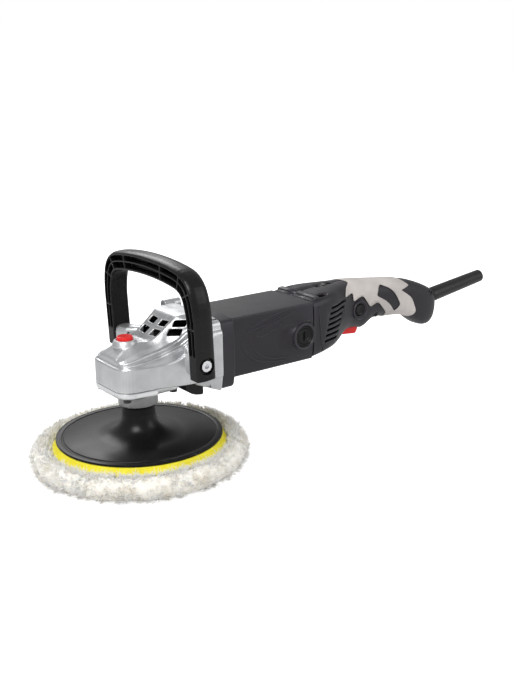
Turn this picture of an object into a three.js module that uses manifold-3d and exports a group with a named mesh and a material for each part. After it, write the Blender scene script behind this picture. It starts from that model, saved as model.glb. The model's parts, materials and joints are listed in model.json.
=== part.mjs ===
// Rotary polisher with a loop handle, an angled bevel gear head and a wool pad.
// Millimetres, +Z up. The origin is on the spindle axis at the working face of the pad,
// and +X runs from the spindle to the rear grip.

import * as THREE from "three";
import { mergeVertices } from "three/addons/utils/BufferGeometryUtils.js";
import Module from "manifold-3d";

const wasm = await Module();
wasm.setup();

// ---------------------------------------------------------------- driving dimensions

const GAP = 0.3; // clearance between neighbouring pieces

// Pads and backing plate, stacked up the spindle from the working face.
const CENTRE_HOLE = 12; // radius of the opening in the hook face and the foam
const PAD = { radius: 112.5, flat: 98, core: 18.1, rim: 26.5 };
const HOOK = { radius: 89, bottom: 18.4, top: 19.6 };
const FOAM = { radius: 90, waist: 86.5, bottom: 19.9, top: 28.7 };
const PLATE = { radius: 85.8, bottom: 29, top: 31.6, hub: 17, hubTop: 62 };

// Spindle, bevel pair and motor axis.
const MOTOR_Z = 109; // height of the armature axis
const THREAD_RADIUS = 7; // M14 spindle nose
const BEVEL = { module: 1.95, gear: 31, pinion: 8, face: 8.6, backlash: 0.26 };
const JOURNAL = 7.5; // spindle at its ball bearing
const TIP = { radius: 4, top: 121 }; // upper end of the spindle
const LOCK = { x: -11.5, pin: 2, hole: 2.5, button: 8.2, top: 136.8, boss: 133.4 };

// Gear head.
const HEAD = { front: -35.2, half: 37.6, bottom: 87.2, wall: 112, crest: 131, rear: 77 };
const CHAMBER = { radius: 33.4, top: 108, upperRadius: 27, upperTop: 114.5, post: 16 };
const COVER = { bottom: 80.5, top: HEAD.bottom - GAP, rear: 35, half: 34.5 };
const COLLAR = { radius: 20.5, bore: 12, bottom: 64 }; // under the cover, round the spindle
const COVER_SCREW = { circle: 37.5, hole: 2.4, tip: 97 };
const BRG = { outer: 17.2, bottom: 69.8, top: 80.3 };
const NEEDLE = { outer: 6.3, bottom: 111, top: 120.5 };
const AIR_SPACE = { front: 17, floor: 129.5, roof: 149.3 }; // hollow behind the windows
const DUCT = { front: 52, half: 28, bottom: 76, top: 89 }; // way out for the cooling air
const DEFLECTOR = { front: 44.6, rear: 60, half: 31, wall: 2, bottom: 67.6 };
const SLOPE = { footX: 8, footZ: 130, topX: 38, topZ: 153.5 }; // window face

// Corner screws that hold the motor section to the head, as [y, z].
const HOUSING_SCREWS = [
  [34, 138],
  [-34, 138],
  [32, 80],
  [-32, 80],
];
const HOUSING_SCREW = { seat: 68, tip: 91, bore: 2.7, counterbore: 5, post: 5.4 };

// Loop handle, and the arms of the head that carry it.
const LOOP = { half: 90, inner: 75, top: 215.5, foot: 104.5, corner: 36, front: 16, rear: 38 };
const LOOP_LEAN = THREE.MathUtils.degToRad(2);
const BOLT = { x: 27.5, z: 119, head: 5.6, shank: 3.9, recess: 8.6, seat: 84.2 };
const ARM = { bottom: 102, top: 127, seat: LOOP.inner - GAP };

// Motor section.
const FLANGE = { front: HEAD.rear + GAP, rear: 93, half: 42.5, bottom: 70.5, top: 147 };
const BODY = { rear: 202, half: 38.6, bottom: 79.5, top: 145, wall: 2.8 };
const CORE = { front: 115, rear: 163, radius: 19.4 };
const STATOR = { bore: 20.2, radius: 33.5, flat: 25.6 };
const FIELD = { front: 107, rear: 171, arch: 7, inside: 21, outside: 25.5, barOutside: 28.5 };
const BRUSH_X = 186.4;
const CAP = { radius: 12, boss: 15.3, proud: 4, inside: 34.6, slot: 1.1 };
const HOLDER = { half: 6, height: 8.5, inside: 14, outside: 34, wall: 2.3 };
const FRONT_BRG = { front: 43, rear: 53, radius: 15.8, shaft: 5.8 };
const REAR_BRG = { front: 199.4, rear: 206, radius: 10.8, shaft: 3.8 };
const WEB = { front: 196.5, rear: 199, half: 5, eye: 6.5, boss: 14 }; // carries the rear bearing

// Rear grip.
const SHELL_FRONT = BODY.rear + GAP;
const SHELL_WALL = 2.6;
const SPLIT = 0.15; // half the gap between the two clamshells
const COVER_SKIN = { inside: 0.3, outside: 1.3 }; // overmould above the shell surface
const REAR_SCREW = { y: 27, z: 138, seat: 208.3, tip: 192 };
const DIAL = { x: 248, z: 139.5, radius: 12, half: 3.2 };
const TRIGGER = { hingeX: 264, hingeZ: 97, half: 8 };
const LOCK_ON = { x: 288, z: 117.5, radius: 7, outside: -20.4, inside: -13 };
const CORD = { x: 426, z: 110.5, tilt: THREE.MathUtils.degToRad(7.65), radius: 4, length: 91 };
const GUARD_HOLE = 6.4; // radius of the opening that the cord guard sits in

// ---------------------------------------------------------------- finishes

const finish = (color, roughness, metalness) => ({ color, roughness, metalness });
const CAST_ALUMINIUM = finish(0xbfc1c4, 0.42, 0.9);
const STEEL = finish(0xa9acb0, 0.3, 1);
const DARK_STEEL = finish(0x45474b, 0.4, 0.9);
const ZINC = finish(0xd6d8da, 0.25, 1);
const DARK_PLASTIC = finish(0x38343a, 0.5, 0);
const BLACK_PLASTIC = finish(0x17171a, 0.35, 0);
const BLACK_RUBBER = finish(0x1c1c1e, 0.7, 0);
const GREY_RUBBER = finish(0xc8c3c0, 0.7, 0);
const RED_PLASTIC = finish(0xd8322f, 0.4, 0);
const FOAM_YELLOW = finish(0xebe13c, 0.8, 0);
const WOOL = finish(0xf1ecdd, 1, 0);
const COPPER = finish(0xb06a3b, 0.4, 1);
const CARBON = finish(0x2a2a2c, 0.9, 0.1);
const BRASS = finish(0xb99a52, 0.35, 1);

// ---------------------------------------------------------------- solids and placing

// A closed geometry as a manifold solid, whichever way its profile runs.
function solid(geometry) {
  const bare = geometry.clone();
  bare.deleteAttribute("normal");
  bare.deleteAttribute("uv");
  const merged = mergeVertices(bare, 1e-4);
  const corners = [];
  for (let i = 0; i < merged.index.count; i += 3) {
    const [a, b, c] = merged.index.array.slice(i, i + 3);
    if (a !== b && b !== c && c !== a) corners.push(a, b, c);
  }
  const make = (triVerts) =>
    new wasm.Manifold(
      new wasm.Mesh({
        numProp: 3,
        vertProperties: merged.attributes.position.array,
        triVerts: new Uint32Array(triVerts),
      }),
    );
  const made = make(corners);
  return made.volume() < 0 ? make(corners.reverse()) : made;
}

// A named mesh of one solid.
function part(name, shape, look) {
  const { vertProperties, triVerts } = shape.getMesh();
  const geometry = new THREE.BufferGeometry();
  geometry.setAttribute("position", new THREE.BufferAttribute(vertProperties, 3));
  geometry.setIndex(new THREE.BufferAttribute(triVerts, 1));
  geometry.computeVertexNormals();
  const mesh = new THREE.Mesh(geometry, new THREE.MeshStandardMaterial(look));
  mesh.name = name;
  return mesh;
}

// The same piece on the other side of the Y = 0 plane.
function mirrored(mesh, name) {
  const twin = mesh.clone();
  twin.name = name;
  twin.scale.y = -1;
  return twin;
}

const join = (shapes) => shapes.reduce((whole, shape) => whole.add(shape));
const cut = (shape, tools) => tools.reduce((rest, tool) => rest.subtract(tool), shape);

// A ring or disc: profile points are [radius, distance along the axis].
function revolve(axis, profile, segments = 36, at = [0, 0, 0]) {
  const points = [...profile, profile[0]].map(([r, along]) => new THREE.Vector2(r, along));
  const geometry = new THREE.LatheGeometry(points, segments);
  if (axis === "z") geometry.rotateX(Math.PI / 2);
  if (axis === "x") geometry.rotateZ(-Math.PI / 2);
  return solid(geometry.translate(...at));
}

const rod = (axis, radius, from, to, at = [0, 0, 0], segments = 16) =>
  revolve(axis, [[0, from], [radius, from], [radius, to], [0, to]], segments, at);

const ring = (axis, inner, outer, from, to, at = [0, 0, 0], segments = 24) =>
  revolve(axis, [[inner, from], [outer, from], [outer, to], [inner, to]], segments, at);

// A rod across the machine, between two distances from the middle on one side.
function sideRod(side, radius, inside, outside, at, segments = 16) {
  const [from, to] = side > 0 ? [inside, outside] : [-outside, -inside];
  return rod("y", radius, from, to, at, segments);
}

function box([x0, y0, z0], [x1, y1, z1]) {
  const geometry = new THREE.BoxGeometry(x1 - x0, y1 - y0, z1 - z0);
  return solid(geometry.translate((x0 + x1) / 2, (y0 + y1) / 2, (z0 + z1) / 2));
}

// A closed outline; a point is [a, b] or [a, b, r] to round its corner over a length r.
function outline(points) {
  const shape = new THREE.Shape();
  const towards = ([a, b], [c, d], length) => {
    const scale = length / Math.hypot(c - a, d - b);
    return [a + (c - a) * scale, b + (d - b) * scale];
  };
  points.forEach((point, i) => {
    const [a, b, r = 0] = point;
    const start = towards(point, points.at(i - 1), r);
    const end = towards(point, points[(i + 1) % points.length], r);
    if (i === 0) shape.moveTo(...start);
    else shape.lineTo(...start);
    if (r > 0) shape.quadraticCurveTo(a, b, ...end);
  });
  return shape;
}

// Half of an outline that is symmetric about its first coordinate, made whole.
const symmetric = (half) => [...half, ...half.map(([a, b, r]) => [-a, b, r]).reverse()];

// Where an outline's two coordinates and the extrusion go: x takes (y, z), y takes (x, z).
const OUTLINE_PLANE = {
  x: new THREE.Matrix4().set(0, 0, 1, 0, 1, 0, 0, 0, 0, 1, 0, 0, 0, 0, 0, 1),
  y: new THREE.Matrix4().set(1, 0, 0, 0, 0, 0, -1, 0, 0, 1, 0, 0, 0, 0, 0, 1),
  z: new THREE.Matrix4(),
};

function extrude(axis, shape, from, to, curveSegments = 2) {
  const options = { depth: to - from, bevelEnabled: false, curveSegments };
  const geometry = new THREE.ExtrudeGeometry(shape, options);
  geometry.translate(0, 0, axis === "y" ? -to : from);
  return solid(geometry.applyMatrix4(OUTLINE_PLANE[axis]));
}

// A body along X: each station is [x, bottom, top, half width, squareness], and its section
// is a superellipse, round at squareness 2 and nearly a box at 8. offset grows it all round.
function loft(stations, offset = 0, around = 20) {
  const position = [];
  const index = [];
  for (const [x, bottom, top, half, squareness] of stations) {
    const middle = (bottom + top) / 2;
    for (let i = 0; i < around; i++) {
      const angle = ((i + 0.5) / around) * 2 * Math.PI;
      const bend = (value) => Math.sign(value) * Math.abs(value) ** (2 / squareness);
      const y = (half + offset) * bend(Math.cos(angle));
      const z = middle + ((top - bottom) / 2 + offset) * bend(Math.sin(angle));
      position.push(x, y, z);
    }
  }
  for (let s = 0; s + 1 < stations.length; s++) {
    for (let i = 0; i < around; i++) {
      const [a, b] = [s * around + i, s * around + ((i + 1) % around)];
      index.push(a, b, b + around, a, b + around, a + around);
    }
  }
  const last = (stations.length - 1) * around;
  for (let i = 1; i + 1 < around; i++) {
    index.push(0, i + 1, i);
    index.push(last, last + i, last + i + 1);
  }
  const geometry = new THREE.BufferGeometry();
  geometry.setAttribute("position", new THREE.Float32BufferAttribute(position, 3));
  geometry.setIndex(index);
  return solid(geometry);
}

// A screw along an axis: the head runs from `seat` back by headLength, the shank forwards.
function screw(axis, { seat, tip, head, headLength, shank, at, socket = 0 }) {
  const way = Math.sign(tip - seat);
  const profile = [
    [0, seat - way * headLength],
    [head, seat - way * headLength],
    [head, seat],
    [shank, seat],
    [shank, tip],
    [0, tip],
  ];
  const body = revolve(axis, profile, 10, at);
  if (!socket) return body;
  const back = seat - way * (headLength + 1);
  const depth = seat - way * headLength * 0.35;
  const hexagon = rod(axis, socket, Math.min(back, depth), Math.max(back, depth), at, 6);
  return body.subtract(hexagon);
}

// ---------------------------------------------------------------- pads and backing plate

function woolPad() {
  const profile = [
    [0, 0],
    [PAD.flat, 0],
    [108, 3.5],
    [PAD.radius, 12],
    [110.5, 20],
    [104, PAD.rim],
    [96, 25],
    [92, PAD.core],
    [0, PAD.core],
  ];
  return part("wool_pad", revolve("z", profile), WOOL);
}

function hookFace() {
  const disc = ring("z", CENTRE_HOLE, HOOK.radius, HOOK.bottom, HOOK.top, [0, 0, 0], 36);
  return part("hook_face", disc, BLACK_RUBBER);
}

function foamPad() {
  const profile = [
    [CENTRE_HOLE, FOAM.bottom],
    [FOAM.radius, FOAM.bottom],
    [FOAM.radius, FOAM.bottom + 1.2],
    [FOAM.waist, FOAM.top],
    [CENTRE_HOLE, FOAM.top],
  ];
  return part("foam_pad", revolve("z", profile), FOAM_YELLOW);
}

// A dished plastic plate whose trumpet-shaped hub screws on to the spindle nose.
function backingPlate() {
  const bore = THREAD_RADIUS + GAP;
  const groove = { inner: 77.6, outer: 79.4, floor: PLATE.top - 0.7 };
  const flare = new THREE.QuadraticBezierCurve(
    new THREE.Vector2(44, PLATE.top),
    new THREE.Vector2(19, 33.5),
    new THREE.Vector2(PLATE.hub, 54),
  );
  const profile = [
    [bore, PLATE.bottom],
    [PLATE.radius - 1, PLATE.bottom],
    [PLATE.radius, PLATE.bottom + 0.8],
    [PLATE.radius - 0.8, PLATE.top],
    [groove.outer, PLATE.top],
    [(groove.inner + groove.outer) / 2, groove.floor],
    [groove.inner, PLATE.top],
    ...flare.getPoints(4).map((point) => point.toArray()),
    [PLATE.hub, PLATE.hubTop],
    [bore, PLATE.hubTop],
  ];
  return part("backing_plate", revolve("z", profile, 32), BLACK_PLASTIC);
}

// ---------------------------------------------------------------- spindle and bevel pair

function spindle() {
  const shoulder = PLATE.hubTop + GAP;
  const profile = [
    [0, 31],
    [THREAD_RADIUS - 0.8, 31],
    [THREAD_RADIUS, 32],
    [THREAD_RADIUS, shoulder],
    [9.5, shoulder],
    [9.5, BRG.bottom - 1],
    [JOURNAL, BRG.bottom - 1],
    [JOURNAL, 86],
    [THREAD_RADIUS, 86],
    [THREAD_RADIUS, 102],
    [TIP.radius, 106],
    [TIP.radius, TIP.top],
    [0, TIP.top],
  ];
  return part("spindle", revolve("z", profile, 18), STEEL);
}

const PITCH_OUTER = (BEVEL.module * BEVEL.gear) / 2; // pitch radius of the large gear
const PINION_OUTER = (BEVEL.module * BEVEL.pinion) / 2;
const CONE = Math.hypot(PITCH_OUTER, PINION_OUTER); // outer cone distance
const ADDENDUM = 0.8 * BEVEL.module;
const DEDENDUM = 1.15 * BEVEL.module;

// Straight bevel teeth with their apex at the origin and their axis along +Z. pitchAngle is
// measured from the axis; the teeth point away from it.
function bevelTeeth(count, pitchAngle) {
  const along = [Math.sin(pitchAngle), Math.cos(pitchAngle)]; // [radius, height] per unit
  const outward = [Math.cos(pitchAngle), -Math.sin(pitchAngle)];
  const corner = (cone, rise, turn) => {
    const radius = cone * along[0] + rise * outward[0];
    const height = cone * along[1] + rise * outward[1];
    return [radius * Math.cos(turn), radius * Math.sin(turn), height];
  };
  const pitch = (2 * Math.PI) / count;
  const half = pitch * 0.25 * (1 - BEVEL.backlash);
  const slant = (0.36 * ADDENDUM) / (CONE * Math.sin(pitchAngle)); // flank angle, as a turn
  const quads = [[0, 1, 2, 3], [7, 6, 5, 4], [0, 4, 5, 1], [1, 5, 6, 2], [2, 6, 7, 3], [3, 7, 4, 0]];
  const teeth = [];
  for (let i = 0; i < count; i++) {
    const turn = i * pitch;
    const position = [CONE - BEVEL.face + 0.3, CONE - 0.3].flatMap((cone) => {
      const size = cone / CONE;
      const root = -DEDENDUM * size - 0.4;
      const tip = ADDENDUM * size;
      return [
        corner(cone, root, turn - half - slant * 1.6),
        corner(cone, root, turn + half + slant * 1.6),
        corner(cone, tip, turn + half - slant),
        corner(cone, tip, turn - half + slant),
      ];
    });
    const index = quads.flatMap(([a, b, c, d]) => [a, b, c, a, c, d]);
    const geometry = new THREE.BufferGeometry();
    geometry.setAttribute("position", new THREE.Float32BufferAttribute(position.flat(), 3));
    geometry.setIndex(index);
    teeth.push(geometry);
  }
  return teeth;
}

// The large gear hangs below the armature axis with its teeth up, and its web has the holes
// that the lock pin drops into.
function bevelGear() {
  const tilt = Math.atan2(BEVEL.gear, BEVEL.pinion);
  const gearPhase = Math.PI / BEVEL.gear; // a tooth space faces the pinion
  const teeth = bevelTeeth(BEVEL.gear, tilt).map((geometry) =>
    solid(geometry.rotateX(Math.PI).rotateZ(gearPhase).translate(0, 0, MOTOR_Z)),
  );
  const rootAt = (cone) => {
    const drop = (DEDENDUM * cone) / CONE;
    return [
      cone * Math.sin(tilt) - drop * Math.cos(tilt),
      MOTOR_Z - cone * Math.cos(tilt) - drop * Math.sin(tilt),
    ];
  };
  const web = { bottom: 95.5, top: 101 };
  const blank = [
    [THREAD_RADIUS + GAP, 89],
    [8.8, 89],
    [8.8, web.bottom],
    [27, web.bottom],
    [29.8, 98],
    rootAt(CONE),
    rootAt(CONE - BEVEL.face),
    [21.4, web.top],
    [THREAD_RADIUS + GAP, web.top],
  ];
  const holes = [0, 1, 2, 3].map((quarter) => {
    const angle = (quarter * Math.PI) / 2;
    const at = [LOCK.x * Math.cos(angle), LOCK.x * Math.sin(angle), 0];
    return rod("z", LOCK.hole, web.bottom - 1, web.top + 1, at, 8);
  });
  const shape = cut(join([revolve("z", blank, BEVEL.gear), ...teeth]), holes);
  return part("bevel_gear", shape, STEEL);
}

function pinion() {
  const tilt = Math.atan2(BEVEL.pinion, BEVEL.gear);
  const teeth = bevelTeeth(BEVEL.pinion, tilt).map((geometry) =>
    solid(geometry.rotateY(Math.PI / 2).translate(0, 0, MOTOR_Z)),
  );
  const rootAt = (cone) => {
    const drop = (DEDENDUM * cone) / CONE;
    return [
      cone * Math.sin(tilt) - drop * Math.cos(tilt),
      cone * Math.cos(tilt) + drop * Math.sin(tilt),
    ];
  };
  const [rootRadius] = rootAt(CONE);
  const blank = [
    [3.3, 22.6],
    rootAt(CONE - BEVEL.face),
    rootAt(CONE),
    [rootRadius, 32.2],
    [6.6, 32.2],
    [6.6, 38.8],
    [3.3, 38.8],
  ];
  const shape = join([revolve("x", blank, 16, [0, 0, MOTOR_Z]), ...teeth]);
  return part("pinion", shape, STEEL);
}

// ---------------------------------------------------------------- gear head

// Ball bearing drawn as one ring with a recessed shield on each face.
function bearing(name, axis, inner, outer, from, to, at) {
  const rim = (outer - inner) * 0.24;
  const shield = 0.7;
  const profile = [
    [inner, from],
    [inner + rim, from],
    [inner + rim, from + shield],
    [outer - rim, from + shield],
    [outer - rim, from],
    [outer, from],
    [outer, to],
    [outer - rim, to],
    [outer - rim, to - shield],
    [inner + rim, to - shield],
    [inner + rim, to],
    [inner, to],
  ];
  return part(name, revolve(axis, profile, 16, at), STEEL);
}

function needleBearing() {
  const sleeve = ring("z", TIP.radius + GAP, NEEDLE.outer, NEEDLE.bottom, NEEDLE.top, [0, 0, 0], 16);
  return part("needle_bearing", sleeve, STEEL);
}

const coverScrewPlaces = [1, 3, 5, 7].map((eighth) => {
  const angle = (eighth * Math.PI) / 4;
  return [COVER_SCREW.circle * Math.cos(angle), COVER_SCREW.circle * Math.sin(angle), 0];
});

// Plan of the head's front, as [x, y] down one side: a square with large rounded corners.
const NOSE = [
  [HEAD.front, 0],
  [HEAD.front, HEAD.half - 4.5, 20],
];

// An [x, y] outline that is symmetric about the X axis, from its +Y side.
const plan = (side) =>
  outline([...side, ...side.slice(1).map(([x, y, r]) => [x, -y, r]).reverse()]);

// The flat cover under the head, with the collar that holds the spindle bearing.
function bearingCover() {
  const plate = extrude("z", plan([
    ...NOSE,
    [2, HEAD.half],
    [2.6, COVER.half],
    [COVER.rear, COVER.half, 16],
  ]), COVER.bottom, COVER.top, 4);
  const collar = revolve("z", [
    [COLLAR.bore, COLLAR.bottom],
    [COLLAR.radius - 1, COLLAR.bottom],
    [COLLAR.radius, COLLAR.bottom + 1],
    [COLLAR.radius, COVER.bottom - 2.5],
    [COLLAR.radius + 2, COVER.bottom + 1],
    [COLLAR.bore, COVER.bottom + 1],
  ], 32);
  const pocket = rod("z", BRG.outer + GAP, BRG.bottom - GAP, HEAD.bottom, [0, 0, 0], 32);
  const bore = rod("z", COLLAR.bore, COLLAR.bottom - 1, HEAD.bottom, [0, 0, 0], 32);
  const holes = coverScrewPlaces.map((at) => rod("z", COVER_SCREW.hole, 78, 90, at, 8));
  return part("bearing_cover", cut(plate.add(collar), [pocket, bore, ...holes]), CAST_ALUMINIUM);
}

function coverScrews() {
  const [seat, tip] = [COVER.bottom - GAP, COVER_SCREW.tip];
  const sizes = { seat, tip, head: 4, headLength: 3, shank: 2, socket: 2 };
  return coverScrewPlaces.map((at, i) =>
    part(`cover_screw_${i + 1}`, screw("z", { ...sizes, at }), DARK_STEEL),
  );
}

// End view of the head behind its hood, as [y, z] down one side.
const HEAD_END = symmetric([
  [33, 69.8, 3],
  [40.5, 78, 4],
  [44.5, 92, 6],
  [46.8, 108, 6],
  [45.6, 126, 6],
  [40.5, 140, 5],
  [33, 150, 4],
  [14, 153.8, 4],
]);

// One of the two arms that carry the loop handle.
function handleArm(side) {
  const shape = outline([
    [33, side * 40],
    [17.5, side * ARM.seat],
    [38, side * ARM.seat],
    [54, side * 40],
  ]);
  const bore = sideRod(side, BOLT.shank + 0.4, 52, 80, [BOLT.x, 0, BOLT.z]);
  return extrude("z", shape, ARM.bottom, ARM.top).subtract(bore);
}

// The low hood on top of the head's front: narrow at the crest, wide at the foot.
function headHood() {
  const [foot, shoulder] = [HEAD.wall - 3, 117.5];
  const corners = [-1, 1].flatMap((side) => [
    [HEAD.front + 3.6, side * 18, foot],
    [-24, side * 29.5, foot],
    [10, side * 34, foot],
    [-27, side * 20, shoulder],
    [20, side * 22, shoulder + 13],
    [10, side * 34, shoulder + 2],
    [-16, side * 6, HEAD.crest - 0.5],
    [14, side * 16, HEAD.crest],
  ]);
  return wasm.Manifold.hull(corners);
}

function headOutside() {
  const side = outline([
    [-3, HEAD.bottom],
    [43, HEAD.bottom],
    [44, 84],
    [HEAD.rear, 69.8],
    [HEAD.rear, 154],
    [SLOPE.topX, SLOPE.topZ, 3],
    [SLOPE.footX, SLOPE.footZ, 3],
    [-3, HEAD.crest - 1],
  ]);
  const lowerPlan = plan([...NOSE, [36, 46.5, 8], [HEAD.rear, 44]]);
  const upperPlan = plan([[-3, 0], [-3, 30], [38, 45.5, 8], [HEAD.rear, 44]]);
  const wall = extrude("z", lowerPlan, HEAD.bottom, HEAD.wall, 4);
  const front = wall.intersect(box([-60, -60, 0], [20, 60, 200]));
  const body = extrude("y", side, -50, 50).intersect(extrude("x", outline(HEAD_END), -4, HEAD.rear));
  const lower = body.intersect(extrude("z", lowerPlan, 60, HEAD.wall + 4));
  const upper = body.intersect(extrude("z", upperPlan, HEAD.wall, 160));
  const lockBoss = revolve("z", [
    [0, 125],
    [13, 125],
    [10.6, LOCK.boss],
    [0, LOCK.boss],
  ], 16, [LOCK.x, 0, 0]);
  const ridges = [-30, 30].map((y) => rod("x", 5, 57, HEAD.rear, [0, y, 148.5], 12));
  return join([front, headHood(), lower, upper, lockBoss, handleArm(1), handleArm(-1), ...ridges]);
}

// Eight cooling windows in the sloping face, four across and two up.
function coolingWindows() {
  const rise = Math.atan2(SLOPE.topZ - SLOPE.footZ, SLOPE.topX - SLOPE.footX);
  const windows = [];
  for (const along of [12, 24]) {
    for (const y of [-28, -9.5, 9.5, 28]) {
      const geometry = new THREE.BoxGeometry(8, 13, 16);
      geometry.rotateY(-rise);
      const x = SLOPE.footX + along * Math.cos(rise) + Math.max(0, Math.abs(y) - 20) * 0.8;
      const z = SLOPE.footZ + along * Math.sin(rise) - 1;
      windows.push(solid(geometry.translate(x, y, z)));
    }
  }
  return windows;
}

function headHollows() {
  const chamber = rod("z", CHAMBER.radius, HEAD.bottom - 1, CHAMBER.top, [0, 0, 0], 24);
  const upper = ring("z", CHAMBER.post, CHAMBER.upperRadius, CHAMBER.top - 1, CHAMBER.upperTop);
  const tunnel = rod("x", 10.5, 20, FRONT_BRG.front, [0, 0, MOTOR_Z], 16);
  const seat = rod("x", FRONT_BRG.radius + GAP, FRONT_BRG.front - 0.5, HEAD.rear + 1,
    [0, 0, MOTOR_Z], 20);
  const airSide = outline([
    [AIR_SPACE.front, AIR_SPACE.floor],
    [AIR_SPACE.front + 2, AIR_SPACE.floor + 4],
    [39, AIR_SPACE.roof],
    [HEAD.rear + 1, AIR_SPACE.roof],
    [HEAD.rear + 1, AIR_SPACE.floor],
  ]);
  const airEnd = outline(symmetric([[35, AIR_SPACE.floor], [34, 139], [30, 146], [12, 149.5]]));
  const airBlock = extrude("x", airEnd, AIR_SPACE.front - 2, HEAD.rear + 2);
  const air = extrude("y", airSide, -40, 40).intersect(airBlock);
  const duct = box([DUCT.front, -DUCT.half, DUCT.bottom], [HEAD.rear + 1, DUCT.half, DUCT.top]);
  const needle = rod("z", NEEDLE.outer + GAP, CHAMBER.top - 1, TIP.top + 1, [0, 0, 0], 12);
  const pinBore = rod("z", LOCK.pin + 0.4, CHAMBER.top - 1, 140, [LOCK.x, 0, 0], 8);
  const buttonWell = rod("z", LOCK.button + 0.4, 126.4, 140, [LOCK.x, 0, 0], 16);
  const coverHoles = coverScrewPlaces.map((at) => rod("z", COVER_SCREW.hole, 80, 98, at, 8));
  const cornerHoles = HOUSING_SCREWS.flatMap(([y, z]) => [
    rod("x", HOUSING_SCREW.bore, 60, HEAD.rear + 1, [0, y, z], 8),
    rod("x", HOUSING_SCREW.counterbore, 50, HOUSING_SCREW.seat, [0, y, z], 10),
  ]);
  return [
    chamber,
    upper,
    tunnel,
    seat,
    air,
    duct,
    needle,
    pinBore,
    buttonWell,
    ...coverHoles,
    ...cornerHoles,
    ...coolingWindows(),
  ];
}

function gearHousing() {
  return part("gear_housing", cut(headOutside(), headHollows()), CAST_ALUMINIUM);
}

function housingScrews() {
  const seat = HOUSING_SCREW.seat - GAP;
  const sizes = { seat, tip: HOUSING_SCREW.tip, head: 4.2, headLength: 4, shank: 2.2, socket: 2 };
  return HOUSING_SCREWS.map(([y, z], i) =>
    part(`housing_screw_${i + 1}`, screw("x", { ...sizes, at: [0, y, z] }), DARK_STEEL),
  );
}

// Plastic scoop under the neck that turns the exhaust air away from the pad.
function airDeflector() {
  const { front, rear, half, wall, bottom } = DEFLECTOR;
  const side = outline([
    [front + 2.4, 82],
    [front, 80],
    [front, 74, 3],
    [front + 6.4, bottom + 0.7, 4],
    [rear, bottom, 3],
    [rear, 76.2],
  ]);
  const inside = outline([
    [front + wall, 79.5],
    [front + wall, 75],
    [front + 7, bottom + 3],
    [rear - wall, bottom + 2.2],
    [rear - wall, 90],
    [front + wall, 90],
  ]);
  const hollow = extrude("y", inside, wall - half, half - wall);
  const ear = box([rear - 6, -5, 70.5], [rear, 5, 75.8]);
  const hole = rod("z", 1.9, 66, 80, [rear - 3, 0, 0], 12);
  const scoop = extrude("y", side, -half, half).subtract(hollow).add(ear);
  return part("air_deflector", scoop.subtract(hole), BLACK_PLASTIC);
}

// ---------------------------------------------------------------- loop handle

// The U between two insets from the handle's outside, as a [y, z] shape.
function loopBand(outer, inner) {
  const half = LOOP.half - outer;
  const top = LOOP.top - outer;
  const innerHalf = LOOP.half - inner;
  const innerTop = LOOP.top - inner;
  return outline([
    [-half, LOOP.foot],
    [-half, top, (LOOP.corner - outer) * 1.2],
    [half, top, (LOOP.corner - outer) * 1.2],
    [half, LOOP.foot],
    [innerHalf, LOOP.foot],
    [innerHalf, innerTop, (LOOP.corner - inner) * 1.2],
    [-innerHalf, innerTop, (LOOP.corner - inner) * 1.2],
    [-innerHalf, LOOP.foot],
  ]);
}

function loopHandle() {
  const thick = LOOP.half - LOOP.inner;
  const depth = LOOP.rear - LOOP.front;
  const bar = extrude("x", loopBand(0, thick), 0, depth, 5);
  // Two rows of pockets are open to the front, with a rib between them and webs across.
  const [pocketDepth, webHalf, reach] = [14, 1, LOOP.half + 5];
  const channels = [
    extrude("x", loopBand(2.6, 6.6), -1, pocketDepth, 5),
    extrude("x", loopBand(8.4, 12.4), -1, pocketDepth, 5),
  ];
  const webs = [-54, -18, 18, 54].map((y) =>
    box([-2, y - webHalf, 180], [depth, y + webHalf, LOOP.top + 5]),
  );
  for (const z of [132, 160]) {
    webs.push(box([-2, -reach, z - webHalf], [depth, reach, z + webHalf]));
  }
  webs.push(box([-2, -reach, LOOP.foot - 5], [depth, reach, BOLT.z + 11])); // solid feet
  const pockets = channels.map((channel) => cut(channel, webs));
  const boltAt = [BOLT.x - LOOP.front, 0, BOLT.z];
  const bolts = [-1, 1].flatMap((side) => [
    sideRod(side, BOLT.recess, BOLT.seat - 0.2, LOOP.half + 5, boltAt),
    sideRod(side, BOLT.shank + 0.4, LOOP.inner - 5, LOOP.half + 5, boltAt, 10),
  ]);
  const handle = part("loop_handle", cut(bar, [...pockets, ...bolts]), BLACK_PLASTIC);
  // The whole loop leans forwards about its bolts.
  const pivot = new THREE.Group();
  pivot.position.set(BOLT.x, 0, BOLT.z);
  pivot.rotation.y = -LOOP_LEAN;
  handle.position.set(LOOP.front - BOLT.x, 0, -BOLT.z);
  pivot.add(handle);
  return pivot;
}

function handleBolts() {
  const { head, shank } = BOLT;
  const sizes = { seat: -BOLT.seat, tip: -55, head, headLength: 4.4, shank, socket: 2.9 };
  const left = part("handle_bolt_left", screw("y", { ...sizes, at: [BOLT.x, 0, BOLT.z] }), ZINC);
  return [left, mirrored(left, "handle_bolt_right")];
}

// ---------------------------------------------------------------- motor section

const flangeOutline = (inset) => outline(symmetric([
  [FLANGE.half - 4 - inset, FLANGE.bottom + inset, 4],
  [FLANGE.half - inset, 92, 8],
  [FLANGE.half - inset, 126, 8],
  [FLANGE.half - 4 - inset, FLANGE.top - 1.5 - inset, 4],
  [18, FLANGE.top - inset, 6],
]));

const bodyOutline = (inset) => outline(symmetric([
  [BODY.half - 2.5 - inset, BODY.bottom + inset, 3],
  [BODY.half - inset, 96, 8],
  [BODY.half - inset, 128, 8],
  [BODY.half - 1 - inset, BODY.top - 0.6 - inset, 1.5],
  [18, BODY.top - inset, 6],
]));

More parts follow.
